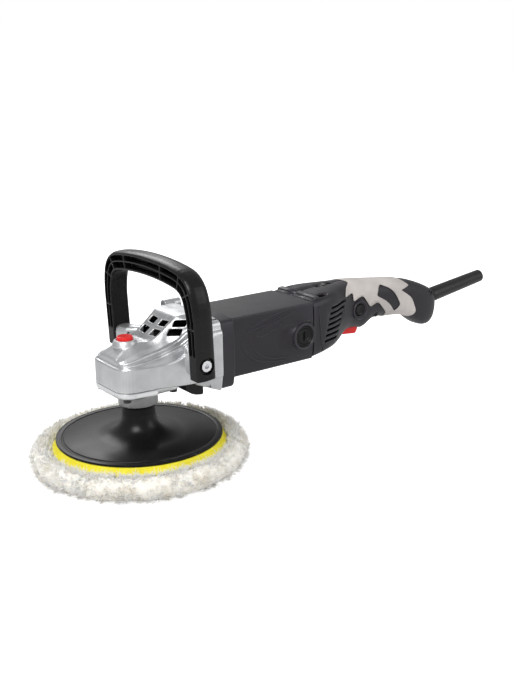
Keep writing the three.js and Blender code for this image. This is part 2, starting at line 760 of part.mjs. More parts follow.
// The web behind the commutator, with spokes to the casing and an eye for the shaft.
function bearingWeb() {
  const spokes = [-1, 1].map((side) => {
    const [from, to] = side > 0 ? [12, 36.5] : [-36.5, -12];
    return box([WEB.front, from, MOTOR_Z - WEB.half], [WEB.rear, to, MOTOR_Z + WEB.half]);
  });
  const upright = box([WEB.front, -WEB.half, BODY.bottom + 1], [WEB.rear, WEB.half, BODY.top - 1]);
  const disc = rod("x", WEB.boss, WEB.front, WEB.rear, [0, 0, MOTOR_Z], 16);
  return join([...spokes, upright, disc]);
}

function motorHousing() {
  const capAt = [BRUSH_X, 0, MOTOR_Z];
  const flange = extrude("x", flangeOutline(0), FLANGE.front, FLANGE.rear);
  const body = extrude("x", bodyOutline(0), FLANGE.rear - 1, BODY.rear);
  const hollow = join([
    extrude("x", flangeOutline(3.2), FLANGE.front - 1, FLANGE.rear - 3),
    extrude("x", bodyOutline(BODY.wall), FLANGE.rear - 4, BODY.rear + 1),
  ]);
  const shell = join([flange, body]).subtract(hollow);
  const capBosses = [-1, 1].map((side) =>
    sideRod(side, CAP.boss, BODY.half - 1, BODY.half + CAP.proud, capAt, 20),
  );
  const posts = HOUSING_SCREWS.map(([y, z]) =>
    rod("x", HOUSING_SCREW.post, FLANGE.front, FLANGE.rear, [0, y, z], 10),
  );
  const screwAt = [-1, 1].map((side) => [0, side * REAR_SCREW.y, REAR_SCREW.z]);
  const rearPosts = screwAt.map((at) => rod("x", 4.6, 188, BODY.rear - 0.2, at, 10));
  const openings = [
    rod("x", WEB.eye, 190, 200, [0, 0, MOTOR_Z], 20),
    rod("x", REAR_BRG.radius + GAP, WEB.rear, 210, [0, 0, MOTOR_Z]),
    ...HOUSING_SCREWS.map(([y, z]) => rod("x", 2.6, FLANGE.front - 1, 92, [0, y, z], 8)),
    ...screwAt.map((at) => rod("x", 2.2, 190, 203, at, 8)),
    ...[-1, 1].map((side) => sideRod(side, CAP.radius + GAP, 34, 60, capAt, 20)),
  ];
  const bearingRing = ring("x", REAR_BRG.radius + GAP, WEB.boss, WEB.front, 207, [0, 0, MOTOR_Z], 16);
  const solidParts = join([shell, bearingWeb(), ...posts, ...rearPosts, ...capBosses]);
  return part("motor_housing", cut(solidParts, openings).add(bearingRing), DARK_PLASTIC);
}

function airBaffle() {
  const plate = extrude("x", bodyOutline(BODY.wall + GAP), 94, 96.5);
  const eye = rod("x", 25, 90, 100, [0, 0, MOTOR_Z], 20);
  return part("air_baffle", plate.subtract(eye), BLACK_PLASTIC);
}

function statorCore() {
  const [from, to] = [CORE.front - 1, CORE.rear + 1];
  const disc = rod("x", STATOR.radius, CORE.front, CORE.rear, [0, 0, MOTOR_Z], 28);
  const flats = box([from, -40, MOTOR_Z - STATOR.flat], [to, 40, MOTOR_Z + STATOR.flat]);
  const bore = rod("x", STATOR.bore, from, to, [0, 0, MOTOR_Z], 24);
  const windows = box([from, -30, MOTOR_Z - 10], [to, 30, MOTOR_Z + 10]);
  return part("stator_core", cut(disc.intersect(flats), [bore, windows]), DARK_STEEL);
}

// A field coil: two sides through the stator's windows, and an arch over each end.
function fieldWinding(name, side) {
  const half = (from) => {
    const to = from + FIELD.arch;
    const arch = ring("x", FIELD.inside, FIELD.outside, from, to, [0, 0, MOTOR_Z], 24);
    const keep = side > 0 ? [MOTOR_Z + 1, MOTOR_Z + 40] : [MOTOR_Z - 40, MOTOR_Z - 1];
    return arch.intersect(box([from - 1, -40, keep[0]], [to + 1, 40, keep[1]]));
  };
  const low = side > 0 ? MOTOR_Z + 1 : MOTOR_Z - 8;
  const bars = [-1, 1].map((way) => {
    const [inner, outer] = [way * (FIELD.inside + 1.2), way * FIELD.barOutside];
    return box([FIELD.front, Math.min(inner, outer), low], [FIELD.rear, Math.max(inner, outer), low + 7]);
  });
  return part(name, join([half(FIELD.front), half(FIELD.rear - FIELD.arch), ...bars]), COPPER);
}

function armatureShaft() {
  const profile = [
    [0, 21.5],
    [3, 21.5],
    [3, 39.2],
    [FRONT_BRG.shaft, 39.2],
    [FRONT_BRG.shaft, 198],
    [REAR_BRG.shaft, 198],
    [REAR_BRG.shaft, 208],
    [0, 208],
  ];
  return part("armature_shaft", revolve("x", profile, 14, [0, 0, MOTOR_Z]), STEEL);
}

function armatureCore() {
  const slots = 12;
  const shape = new THREE.Shape();
  for (let i = 0; i < slots; i++) {
    const turn = (i * 2 * Math.PI) / slots;
    const reach = [[-0.21, CORE.radius], [0, CORE.radius], [0.21, CORE.radius], [0.22, 14], [0.3, 14]];
    reach.forEach(([lead, radius], j) => {
      const point = [radius * Math.cos(turn + lead), radius * Math.sin(turn + lead)];
      if (i + j === 0) shape.moveTo(...point);
      else shape.lineTo(...point);
    });
  }
  const stack = extrude("x", shape, CORE.front, CORE.rear);
  const bore = rod("x", FRONT_BRG.shaft + GAP, CORE.front - 1, CORE.rear + 1, [0, 0, 0], 12);
  const mesh = part("armature_core", stack.subtract(bore), DARK_STEEL);
  mesh.position.z = MOTOR_Z;
  return mesh;
}

function armatureWinding(name, from, to) {
  const inner = FRONT_BRG.shaft + GAP;
  const profile = [
    [inner, from],
    [14, from],
    [16.8, (from * 2 + to) / 3],
    [16.8, (from + to * 2) / 3],
    [14, to],
    [inner, to],
  ];
  return part(name, revolve("x", profile, 16, [0, 0, MOTOR_Z]), COPPER);
}

function commutator() {
  const inner = FRONT_BRG.shaft + GAP;
  const profile = [[inner, 176], [14, 176], [14, 179], [12, 179], [12, 195.8], [inner, 195.8]];
  return part("commutator", revolve("x", profile, 16, [0, 0, MOTOR_Z]), COPPER);
}

function coolingFan() {
  const blades = 7;
  const disc = revolve("x", [
    [FRONT_BRG.shaft + GAP, 81],
    [32, 81],
    [32, 82.6],
    [12, 82.6],
    [10, 90],
    [FRONT_BRG.shaft + GAP, 90],
  ], 24);
  const blade = (i) => {
    const geometry = new THREE.BoxGeometry(7, 20, 1.6);
    geometry.translate(86, 20.6, 4);
    return solid(geometry.rotateX((i * 2 * Math.PI) / blades));
  };
  const whole = join([disc, ...Array.from({ length: blades }, (_, i) => blade(i))]);
  const mesh = part("cooling_fan", whole, BLACK_PLASTIC);
  mesh.position.z = MOTOR_Z;
  return mesh;
}

// Brass holder, carbon brush and screwed access cap, on both sides of the commutator.
function brushSet() {
  // A block across the machine on its -Y side, centred on the brush.
  const block = (half, height, inside, outside) =>
    box([BRUSH_X - half, -outside, MOTOR_Z - height], [BRUSH_X + half, -inside, MOTOR_Z + height]);
  const { half, height, inside, outside, wall } = HOLDER;
  const tube = block(half, height, inside, outside)
    .subtract(block(half - wall, height - wall, inside - 1, outside + 1));
  const carbon = block(half - wall - 0.4, height - wall - 0.4, inside - 1.6, outside - 4);
  const face = BODY.half + CAP.proud - 1.2;
  const cap = rod("y", CAP.radius, -face, -CAP.inside, [BRUSH_X, 0, MOTOR_Z], 20);
  const slot = block(CAP.slot, 5.5, face - 1.8, face + 1);
  const left = [
    part("brush_holder_left", tube, BRASS),
    part("carbon_brush_left", carbon, CARBON),
    part("brush_cap_left", cap.subtract(slot), BLACK_PLASTIC),
  ];
  return left.flatMap((mesh) => [mesh, mirrored(mesh, mesh.name.replace("left", "right"))]);
}

// ---------------------------------------------------------------- rear grip

// [x, bottom, top, half width, squareness] down the clamshells.
const GRIP = [
  [SHELL_FRONT, 79.5, 145, 38.6, 9],
  [214, 80.8, 147.2, 38.4, 8],
  [226, 82.4, 149, 37.3, 7],
  [238, 84.2, 149.8, 34.8, 6],
  [256, 86.8, 150.9, 27, 4.6],
  [276, 90, 150.8, 20, 3.6],
  [299, 91.5, 148.8, 18.2, 3],
  [318, 99.8, 146.8, 17.8, 2.6],
  [372, 95.8, 139.8, 17.6, 2.6],
  [386, 86, 135.9, 18, 2.8],
  [402, 78, 129.8, 18, 3],
  [413, 76.6, 124.8, 16.5, 3],
  [421, 79, 121.6, 14.5, 2.8],
  [426, 85, 119, 11.5, 2.5],
];

// The inside of the two clamshells, open at the front.
function shellCavity() {
  const stations = GRIP.map(([x, ...rest], i) => [i ? x - 3 : x - 1, ...rest]);
  return loft(stations, -SHELL_WALL);
}

// Openings for the dial, the trigger, the lock-on button and the cord guard.
function shellOpenings() {
  const { x, half, radius } = DIAL;
  const dialSlot = box([x - radius - 1, -half - 0.8, 124], [x + radius + 1, half + 0.8, 156]);
  const reach = TRIGGER.half + 0.8;
  const triggerSlot = box([TRIGGER.hingeX - 4, -reach, 78], [298, reach, 98]);
  const lockOnHole = rod("y", LOCK_ON.radius + 0.5, -30, -8, [LOCK_ON.x, 0, LOCK_ON.z], 16);
  const cordHole = rod("x", GUARD_HOLE, 421, 440, [0, 0, CORD.z]);
  return [dialSlot, triggerSlot, lockOnHole, cordHole];
}

// Seven slanted cooling slots in each flank.
function flankSlots(side) {
  const [length, shortening, width, slant] = [20, 0.9, 2.6, 0.3];
  const [pitchX, pitchZ] = [2.1, 6.2];
  const slots = [];
  for (let i = 0; i < 7; i++) {
    const geometry = new THREE.BoxGeometry(length - i * shortening, 20, width);
    geometry.rotateY(-slant);
    slots.push(solid(geometry.translate(245 - i * pitchX, side * 36, 133.5 - i * pitchZ)));
  }
  return slots;
}

// Screws that clamp the two clamshells, as [x, z].
const GRIP_SCREWS = [
  [318, 106],
  [411.5, 118.5],
];
const GRIP_SCREW = { seat: 12.3, post: 4.4, bore: 1.9, counterbore: 3.4 };

function handleShell(name, side) {
  const [near, far] = side > 0 ? [SPLIT, 60] : [-60, -SPLIT];
  const half = box([190, near, 60], [450, far, 170]);
  const posts = GRIP_SCREWS.map(([x, z]) => rod("y", GRIP_SCREW.post, -14, 14, [x, 0, z], 10));
  const screwHoles = GRIP_SCREWS.flatMap(([x, z]) => [
    rod("y", GRIP_SCREW.counterbore, -40, -12, [x, 0, z], 10),
    rod("y", GRIP_SCREW.bore, -40, 13, [x, 0, z], 8),
  ]);
  const rearAt = [0, side * REAR_SCREW.y, REAR_SCREW.z];
  const rearHoles = [rod("x", 2.2, 200, 216, rearAt, 8), rod("x", 4.4, 208, 230, rearAt, 10)];
  const rearLug = rod("x", 6, SHELL_FRONT, 211, rearAt, 10);
  const shell = loft(GRIP).subtract(shellCavity());
  const body = join([shell, ...posts, rearLug]).intersect(half);
  const tools = [...shellOpenings(), ...screwHoles, ...rearHoles, ...flankSlots(side)];
  return part(name, cut(body, tools), DARK_PLASTIC);
}

// Soft overmould: [x, z] outline with a scalloped lower edge and one window.
function gripCover(name, side) {
  const edge = outline([
    [258, 170],
    [262, 146],
    [266, 138, 2],
    [276, 139, 3],
    [279, 130, 2],
    [293, 133, 4],
    [305, 119, 2],
    [316, 121, 3],
    [336, 104, 3],
    [338, 90],
    [372, 88],
    [380, 99, 4],
    [368, 120, 4],
    [356, 131, 2],
    [366, 136, 3],
    [352, 146],
    [346, 170],
  ]);
  const window = outline([
    [320, 132, 4],
    [324, 141, 3],
    [346, 124, 6],
    [353, 112, 3],
    [346, 108, 3],
    [332, 121, 6],
  ]);
  edge.holes.push(new THREE.Path(window.getPoints(3)));
  const [near, far] = side > 0 ? [SPLIT, 40] : [-40, -SPLIT];
  const skin = loft(GRIP, COVER_SKIN.outside).subtract(loft(GRIP, COVER_SKIN.inside));
  return part(name, skin.intersect(extrude("y", edge, near, far)), GREY_RUBBER);
}

function gripScrews() {
  const seat = -GRIP_SCREW.seat;
  const sizes = { seat, tip: 10, head: 3, headLength: 2.4, shank: 1.6, socket: 1.4 };
  return GRIP_SCREWS.map(([x, z], i) =>
    part(`grip_screw_${i + 1}`, screw("y", { ...sizes, at: [x, 0, z] }), DARK_STEEL),
  );
}

function rearScrews() {
  const { y, z, seat, tip } = REAR_SCREW;
  const sizes = { seat, tip, head: 3.9, headLength: 3, shank: 1.9, socket: 1.8 };
  const left = part("rear_screw_left", screw("x", { ...sizes, at: [0, -y, z] }), DARK_STEEL);
  return [left, mirrored(left, "rear_screw_right")];
}

// ---------------------------------------------------------------- controls

function lockButton() {
  const cap = revolve("z", [
    [0, 129.8],
    [LOCK.button, 129.8],
    [LOCK.button, LOCK.top - 1],
    [LOCK.button - 1, LOCK.top],
    [0, LOCK.top],
  ], 20);
  const mesh = part("lock_button", cap, RED_PLASTIC);
  mesh.position.x = LOCK.x;
  return mesh;
}

function lockPin() {
  const mesh = part("lock_pin", rod("z", LOCK.pin, 102, 129.5, [0, 0, 0], 8), STEEL);
  mesh.position.x = LOCK.x;
  return mesh;
}

function trigger() {
  const paddle = outline([
    [TRIGGER.hingeX - 2.5, TRIGGER.hingeZ + 2.5],
    [TRIGGER.hingeX - 2.5, TRIGGER.hingeZ - 4, 2],
    [268, 88.3, 3],
    [280, 87],
    [291.5, 85.7, 3],
    [295.5, 92, 3],
    [295.5, 101, 1.5],
    [290, 101],
    [286, 97.5],
  ]);
  return part("trigger", extrude("y", paddle, -TRIGGER.half, TRIGGER.half), RED_PLASTIC);
}

function lockOnButton() {
  const button = rod("y", LOCK_ON.radius, LOCK_ON.outside, LOCK_ON.inside, [LOCK_ON.x, 0, LOCK_ON.z]);
  return part("lock_on_button", button, BLACK_PLASTIC);
}

function speedDial() {
  const teeth = 20;
  const shape = new THREE.Shape();
  for (let i = 0; i < teeth * 2; i++) {
    const radius = DIAL.radius - (i % 2) * 0.7;
    const turn = (i * Math.PI) / teeth;
    const point = [radius * Math.cos(turn), radius * Math.sin(turn)];
    if (i === 0) shape.moveTo(...point);
    else shape.lineTo(...point);
  }
  const mesh = part("speed_dial", extrude("y", shape, -DIAL.half, DIAL.half), BLACK_PLASTIC);
  mesh.position.set(DIAL.x, 0, DIAL.z);
  return mesh;
}

function triggerSwitch() {
  const body = box([266, -9.8, 108], [304, 9.8, 138]);
  const plunger = box([289, -3, 105.5], [295, 3, 109]);
  return part("trigger_switch", body.add(plunger), BLACK_PLASTIC);
}

function speedController() {
  const board = box([230, -14, 98], [231.8, 14, 125]);
  const block = box([231.5, -9, 102], [241, 9, 121]);
  return part("speed_controller", board.add(block), CARBON);
}

// ---------------------------------------------------------------- cord

const cordFrame = (mesh) => {
  mesh.position.set(CORD.x, 0, CORD.z);
  mesh.rotation.y = -CORD.tilt;
  return mesh;
};

function cordGuard() {
  const bore = CORD.radius + GAP;
  const profile = [
    [bore, -9.5],
    [7.6, -9.5],
    [7.6, -6.3],
    [5.8, -6],
    [5.8, 2],
    [9, 2.8],
    [7.8, CORD.length],
    [bore, CORD.length],
  ];
  return cordFrame(part("cord_guard", revolve("x", profile, 16), BLACK_RUBBER));
}

function powerCord() {
  const cord = rod("x", CORD.radius, -30, CORD.length);
  return cordFrame(part("power_cord", cord, BLACK_RUBBER));
}

function cordClamp() {
  const saddle = outline(symmetric([
    [4.6, 4],
    [4.6, 0],
    [10, 0],
    [10, 3],
    [6, 3],
    [6, 8],
  ]).concat([[-2.5, 6], [2.5, 6]]));
  const mesh = part("cord_clamp", extrude("x", saddle, -28, -20), BLACK_PLASTIC);
  return cordFrame(mesh);
}

// ---------------------------------------------------------------- assembly

const polisher = new THREE.Group();
polisher.add(
  woolPad(),
  hookFace(),
  foamPad(),
  backingPlate(),
  spindle(),
  bevelGear(),
  pinion(),
  bearingCover(),
  ...coverScrews(),
  bearing("spindle_bearing", "z", JOURNAL + GAP, BRG.outer, BRG.bottom, BRG.top, [0, 0, 0]),
  needleBearing(),
  gearHousing(),
  ...housingScrews(),
  airDeflector(),
  loopHandle(),
  ...handleBolts(),
  motorHousing(),
  airBaffle(),
  statorCore(),
  fieldWinding("field_winding_upper", 1),
  fieldWinding("field_winding_lower", -1),
  armatureShaft(),
  armatureCore(),
  armatureWinding("armature_winding_front", 104.5, CORE.front - GAP),
  armatureWinding("armature_winding_rear", CORE.rear + GAP, 174),
  commutator(),
  coolingFan(),
  bearing("front_bearing", "x", FRONT_BRG.shaft + GAP, FRONT_BRG.radius,
    FRONT_BRG.front, FRONT_BRG.rear, [0, 0, MOTOR_Z]),
  bearing("rear_bearing", "x", REAR_BRG.shaft + GAP, REAR_BRG.radius,
    REAR_BRG.front, REAR_BRG.rear, [0, 0, MOTOR_Z]),
  ...brushSet(),
  handleShell("handle_shell_left", -1),
  handleShell("handle_shell_right", 1),
  gripCover("grip_cover_left", -1),
  gripCover("grip_cover_right", 1),
  ...gripScrews(),
  ...rearScrews(),
  lockButton(),
  lockPin(),
  trigger(),
  lockOnButton(),
  speedDial(),
  triggerSwitch(),
  speedController(),
  cordGuard(),
  powerCord(),
  cordClamp(),
);

export default polisher;
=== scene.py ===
"""Looks of the rotary polisher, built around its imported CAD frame.

Shapes are worked out in millimetres in the CAD's own frame and scaled to metres as each
mesh is made: the origin is on the spindle axis at the pad's working face, +Z is up, and
+X runs to the rear grip.
"""

import json
import math
import random

import bmesh
import bpy
from mathutils import Matrix, Vector, noise
from mathutils.bvhtree import BVHTree


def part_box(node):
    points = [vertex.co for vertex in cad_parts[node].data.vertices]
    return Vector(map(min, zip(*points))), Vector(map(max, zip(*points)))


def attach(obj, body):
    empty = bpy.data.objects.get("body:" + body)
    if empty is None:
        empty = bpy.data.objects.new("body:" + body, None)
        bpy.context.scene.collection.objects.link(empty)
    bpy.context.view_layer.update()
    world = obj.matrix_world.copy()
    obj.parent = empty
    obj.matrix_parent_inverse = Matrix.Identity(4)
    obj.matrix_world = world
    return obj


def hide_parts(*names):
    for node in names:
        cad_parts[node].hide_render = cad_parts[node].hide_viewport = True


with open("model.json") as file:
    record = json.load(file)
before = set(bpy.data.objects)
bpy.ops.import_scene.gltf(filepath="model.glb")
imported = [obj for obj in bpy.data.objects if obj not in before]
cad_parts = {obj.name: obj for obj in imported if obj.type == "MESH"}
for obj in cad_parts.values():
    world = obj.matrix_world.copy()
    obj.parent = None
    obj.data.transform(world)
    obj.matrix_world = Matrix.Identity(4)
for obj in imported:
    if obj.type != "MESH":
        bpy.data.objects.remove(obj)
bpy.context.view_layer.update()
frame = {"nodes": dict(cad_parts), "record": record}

MM = 0.001
NODES = frame["nodes"]
SEED = 41


def span(node):
    """A CAD node's lowest and highest corners, in millimetres."""
    low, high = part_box(node)
    return [v / MM for v in low], [v / MM for v in high]


def middle(node):
    """The middle of a CAD node's box, in millimetres."""
    return [(a + b) / 2 for a, b in zip(*span(node))]


# ---------------------------------- places from the frame

MOTOR_Z = middle("armature_shaft")[2]
PLATE_LOW, PLATE_HIGH = span("backing_plate")
FOAM_LOW, FOAM_HIGH = span("foam_pad")
HOOK_LOW, HOOK_HIGH = span("hook_face")
COVER_LOW, COVER_HIGH = span("bearing_cover")
HEAD_LOW, HEAD_HIGH = span("gear_housing")
BUTTON_LOW, BUTTON_HIGH = span("lock_button")
DIAL_LOW, DIAL_HIGH = span("speed_dial")
LOCK_ON_LOW, LOCK_ON_HIGH = span("lock_on_button")

BOLT_X, _, BOLT_Z = middle("handle_bolt_left")
DIAL_X, _, DIAL_Z = middle("speed_dial")
LOCK_ON_X, _, LOCK_ON_Z = middle("lock_on_button")
BUTTON_X = middle("lock_button")[0]
CAP_X = middle("brush_cap_left")[0]
HEAD_REAR = HEAD_HIGH[0]
ARM_SEAT = HEAD_HIGH[1]
FLANGE_FRONT = span("motor_housing")[0][0]

# Sizes that the frame's boxes do not give.
CENTRE_HOLE = 12.0  # radius of the opening in the foam, the hook face and the bearing cover
HEAD_HALF = 37.6  # half width of the head's front
COVER_HALF = 34.5  # half width of the bearing cover's rear
COVER_PLATE = 80.5  # underside of the bearing cover's plate
BODY_HALF, BODY_BOTTOM, BODY_TOP = 38.6, 79.5, 145.0  # motor section
FLANGE_HALF, FLANGE_BOTTOM, FLANGE_TOP = 42.4, 70.5, 146.8
CAP_RADIUS, CAP_FACE, CAP_INSIDE = 12.0, 41.4, 34.6  # brush caps, measured from the middle
SPLIT = 0.12  # half the gap between the two clamshells


# ---------------------------------- mesh building

def make(name, verts, faces, smooth=40):
    """A mesh object from millimetre points, with its normals turned outwards."""
    mesh = bpy.data.meshes.new(name)
    mesh.from_pydata([Vector(v) * MM for v in verts], [], faces)
    bm = bmesh.new()
    bm.from_mesh(mesh)
    bmesh.ops.remove_doubles(bm, verts=bm.verts, dist=1e-7)
    bmesh.ops.recalc_face_normals(bm, faces=bm.faces)
    bm.to_mesh(mesh)
    bm.free()
    obj = bpy.data.objects.new(name, mesh)
    bpy.context.scene.collection.objects.link(obj)
    shade(obj, smooth)
    return obj


def shade(obj, angle):
    """Smooth shading, with edges sharper than angle left crisp."""
    obj.data.shade_smooth()
    obj.data.set_sharp_from_angle(angle=math.radians(angle))


def lathe(name, axis, profile, steps=96, at=(0, 0, 0), wobble=None, smooth=35):
    """A turned piece. profile is a closed loop of (radius, distance along the axis)."""
    verts, faces = [], []
    count = len(profile)
    for step in range(steps):
        turn = 2 * math.pi * step / steps
        for radius, along in profile:
            if wobble:
                radius, along = wobble(radius, along, turn)
            point = Vector((radius * math.cos(turn), radius * math.sin(turn), along))
            if axis == "x":
                point = Vector((along, point.x, point.y))
            elif axis == "y":
                point = Vector((point.x, along, point.y))
            verts.append(point + Vector(at))
    for step in range(steps):
        here, there = step * count, ((step + 1) % steps) * count
        for i in range(count):
            j = (i + 1) % count
            faces.append((here + i, there + i, there + j, here + j))
    return make(name, verts, faces, smooth)


def rod(name, axis, radius, start, end, at=(0, 0, 0), steps=32):
    profile = [(0, start), (radius, start), (radius, end), (0, end)]
    return lathe(name, axis, profile, steps, at)


def rounded(points, steps=5):
    """Outline points; (a, b, r) turns a corner into a curve that starts r before it."""
    result = []
    for i, point in enumerate(points):
        corner = Vector(point[:2])
        radius = point[2] if len(point) > 2 else 0
        if not radius:
            result.append(corner)
            continue
        before = Vector(points[i - 1][:2]) - corner
        after = Vector(points[(i + 1) % len(points)][:2]) - corner
        start = corner + before.normalized() * min(radius, before.length * 0.49)
        end = corner + after.normalized() * min(radius, after.length * 0.49)
        for step in range(steps + 1):
            t = step / steps
            result.append(start * (1 - t) ** 2 + corner * 2 * t * (1 - t) + end * t * t)
    return result


def mirrored_outline(half):
    """Both halves of an outline that is symmetric about its first coordinate."""
    return list(half) + [(-p[0], *p[1:]) for p in reversed(half)]


def prism(name, axis, outline, start, end, smooth=35):
    """An outline extruded along an axis: x takes (y, z), y takes (x, z), z takes (x, y)."""
    def place(a, b, along):
        return {"x": (along, a, b), "y": (a, along, b), "z": (a, b, along)}[axis]

    count = len(outline)
    verts = [place(p[0], p[1], along) for along in (start, end) for p in outline]
    faces = [tuple(range(count)), tuple(range(2 * count - 1, count - 1, -1))]
    faces += [(i, (i + 1) % count, count + (i + 1) % count, count + i) for i in range(count)]
    return make(name, verts, faces, smooth)


def block(name, low, high):
    outline = [(low[0], low[1]), (high[0], low[1]), (high[0], high[1]), (low[0], high[1])]
    return prism(name, "z", outline, low[2], high[2])


def across(side, near, far):
    """The range of Y between two distances from the middle, on one side of the machine."""
    return (near, far) if side > 0 else (-far, -near)


def side_block(name, side, low, high):
    """A block on one side of the machine; its corners' Y is the distance from the middle."""
    near, far = across(side, low[1], high[1])
    return block(name, (low[0], near, low[2]), (high[0], far, high[2]))


def mirror_lathe(name, side, profile, steps, at):
    """A piece turned about Y; profile's distances run outwards from the middle."""
    return lathe(name, "y", [(radius, side * out) for radius, out in profile], steps, at)


def rings(name, loops, smooth=35):
    """A closed body through loops of equally many points, capped at both ends."""
    count = len(loops[0])
    verts = [point for loop in loops for point in loop]
    faces = [tuple(range(count)), tuple(len(verts) - 1 - i for i in range(count))]
    for k in range(len(loops) - 1):
        for i in range(count):
            j = (i + 1) % count
            faces.append((k * count + i, k * count + j, (k + 1) * count + j, (k + 1) * count + i))
    return make(name, verts, faces, smooth)


def apply_modifiers(obj):
    deps = bpy.context.evaluated_depsgraph_get()
    mesh = bpy.data.meshes.new_from_object(obj.evaluated_get(deps))
    old = obj.data
    obj.modifiers.clear()
    obj.data = mesh
    bpy.data.meshes.remove(old)
    return obj


def merge(target, tools, operation):
    """Boolean of target with each tool in turn, which are used up."""
    for tool in tools:
        modifier = target.modifiers.new("cut", "BOOLEAN")
        modifier.operation = operation
        modifier.solver = "MANIFOLD"
        modifier.object = tool
        apply_modifiers(target)
        if not target.data.polygons:
            raise ValueError(f"{tool.name} left nothing of {target.name}")
        old = tool.data
        bpy.data.objects.remove(tool)
        bpy.data.meshes.remove(old)
    return target


def join(objects):
    """One object holding the meshes of all of them."""
    first = objects[0]
    bm = bmesh.new()
    for obj in objects:
        bm.from_mesh(obj.data)
    bm.to_mesh(first.data)
    bm.free()
    for obj in objects[1:]:
        bpy.data.objects.remove(obj)
    return first


def soften(obj, voxel, rounds, factor=0.5, smooth=180):
    """Rounds every edge as a casting or moulding has it: voxel remesh, then smoothing."""
    remesh = obj.modifiers.new("remesh", "REMESH")
    remesh.mode = "VOXEL"
    remesh.voxel_size = voxel * MM
    relax = obj.modifiers.new("relax", "SMOOTH")
    relax.factor = factor
    relax.iterations = rounds
    apply_modifiers(obj)
    shade(obj, smooth)
    return obj


def bevel(obj, width, segments=2, angle=35):
    modifier = obj.modifiers.new("bevel", "BEVEL")
    modifier.width = width * MM
    modifier.segments = segments
    modifier.limit_method = "ANGLE"
    modifier.angle_limit = math.radians(angle)
    modifier.harden_normals = True
    return obj


def tube(name, points, radius, steps=10, taper=0.0):
    """A round bar along points, thinning to its ends by the share taper."""
    path = [Vector(p) for p in points]
    loops = []
    for i, point in enumerate(path):
        ahead = (path[min(i + 1, len(path) - 1)] - path[max(i - 1, 0)]).normalized()
        side = ahead.cross(Vector((0, 0, 1)))
        side = side.normalized() if side.length > 1e-3 else Vector((0, 1, 0))
        lift = side.cross(ahead)
        size = radius * (1 - taper * abs(2 * i / (len(path) - 1) - 1) ** 2)
        loops.append([
            point + (side * math.cos(a) + lift * math.sin(a)) * size
            for a in (2 * math.pi * k / steps for k in range(steps))
        ])
    return rings(name, loops, 60)


def curve_through(points, steps=10):
    """Catmull-Rom curve through points."""
    pts = [Vector(p) for p in points]
    pts = [pts[0] * 2 - pts[1], *pts, pts[-1] * 2 - pts[-2]]
    result = []
    for a, b, c, d in zip(pts, pts[1:], pts[2:], pts[3:]):
        for step in range(steps):
            t = step / steps
            result.append(0.5 * (2 * b + (c - a) * t + (2 * a - 5 * b + 4 * c - d) * t * t
                                 + (3 * b - a - 3 * c + d) * t ** 3))
    result.append(pts[-2])
    return result


# ---------------------------------- materials

def material(name, colour, roughness, metallic=0.0):
    """A principled material; returns it with its node tree, shader and object coordinates."""
    mat = bpy.data.materials.new(name)
    mat.use_nodes = True
    tree = mat.node_tree
    shader = tree.nodes["Principled BSDF"]
    shader.inputs["Base Color"].default_value = (*colour, 1)
    shader.inputs["Roughness"].default_value = roughness
    shader.inputs["Metallic"].default_value = metallic
    coords = tree.nodes.new("ShaderNodeTexCoord").outputs["Object"]
    return mat, tree, shader, coords


def noise_node(tree, coords, scale, detail=3.0, stretch=None):
    """Noise whose scale is in features per metre."""
    source = coords
    if stretch:
        mapping = tree.nodes.new("ShaderNodeMapping")
        mapping.inputs["Scale"].default_value = stretch
        tree.links.new(coords, mapping.inputs["Vector"])
        source = mapping.outputs["Vector"]
    node = tree.nodes.new("ShaderNodeTexNoise")
    node.inputs["Scale"].default_value = scale
    node.inputs["Detail"].default_value = detail
    tree.links.new(source, node.inputs["Vector"])
    return node.outputs["Fac"]


def ramp(tree, value, stops):
    node = tree.nodes.new("ShaderNodeValToRGB")
    elements = node.color_ramp.elements
    elements[0].position, elements[0].color = stops[0][0], (*stops[0][1], 1)
    elements[1].position, elements[1].color = stops[-1][0], (*stops[-1][1], 1)
    for position, colour in stops[1:-1]:
        elements.new(position).color = (*colour, 1)
    tree.links.new(value, node.inputs["Fac"])
    return node.outputs["Color"]


def vary(tree, shader, value, socket, low, high):
    """Drives a shader input between low and high by a 0 to 1 value."""
    node = tree.nodes.new("ShaderNodeMapRange")
    node.inputs["From Min"].default_value = 0.3
    node.inputs["From Max"].default_value = 0.7
    node.inputs["To Min"].default_value = low
    node.inputs["To Max"].default_value = high
    tree.links.new(value, node.inputs["Value"])
    tree.links.new(node.outputs["Result"], shader.inputs[socket])


def bump(tree, shader, heights):
    """Adds bump layers of (value, depth in metres)."""
    normal = None
    for value, depth in heights:
        node = tree.nodes.new("ShaderNodeBump")
        node.inputs["Strength"].default_value = 1.0
        node.inputs["Distance"].default_value = depth
        tree.links.new(value, node.inputs["Height"])
        if normal:
            tree.links.new(normal, node.inputs["Normal"])
        normal = node.outputs["Normal"]
    tree.links.new(normal, shader.inputs["Normal"])


def edge_wear(tree, shader, base, worn):
    """Lightens the colour where the surface turns a convex edge."""
    geometry = tree.nodes.new("ShaderNodeNewGeometry")
    mask = ramp(tree, geometry.outputs["Pointiness"], [(0.5, (0, 0, 0)), (0.56, (1, 1, 1))])
    mix = tree.nodes.new("ShaderNodeMix")
    mix.data_type = "RGBA"
    tree.links.new(mask, mix.inputs["Factor"])
    tree.links.new(base, mix.inputs["A"])
    mix.inputs["B"].default_value = (*worn, 1)
    tree.links.new(mix.outputs["Result"], shader.inputs["Base Color"])


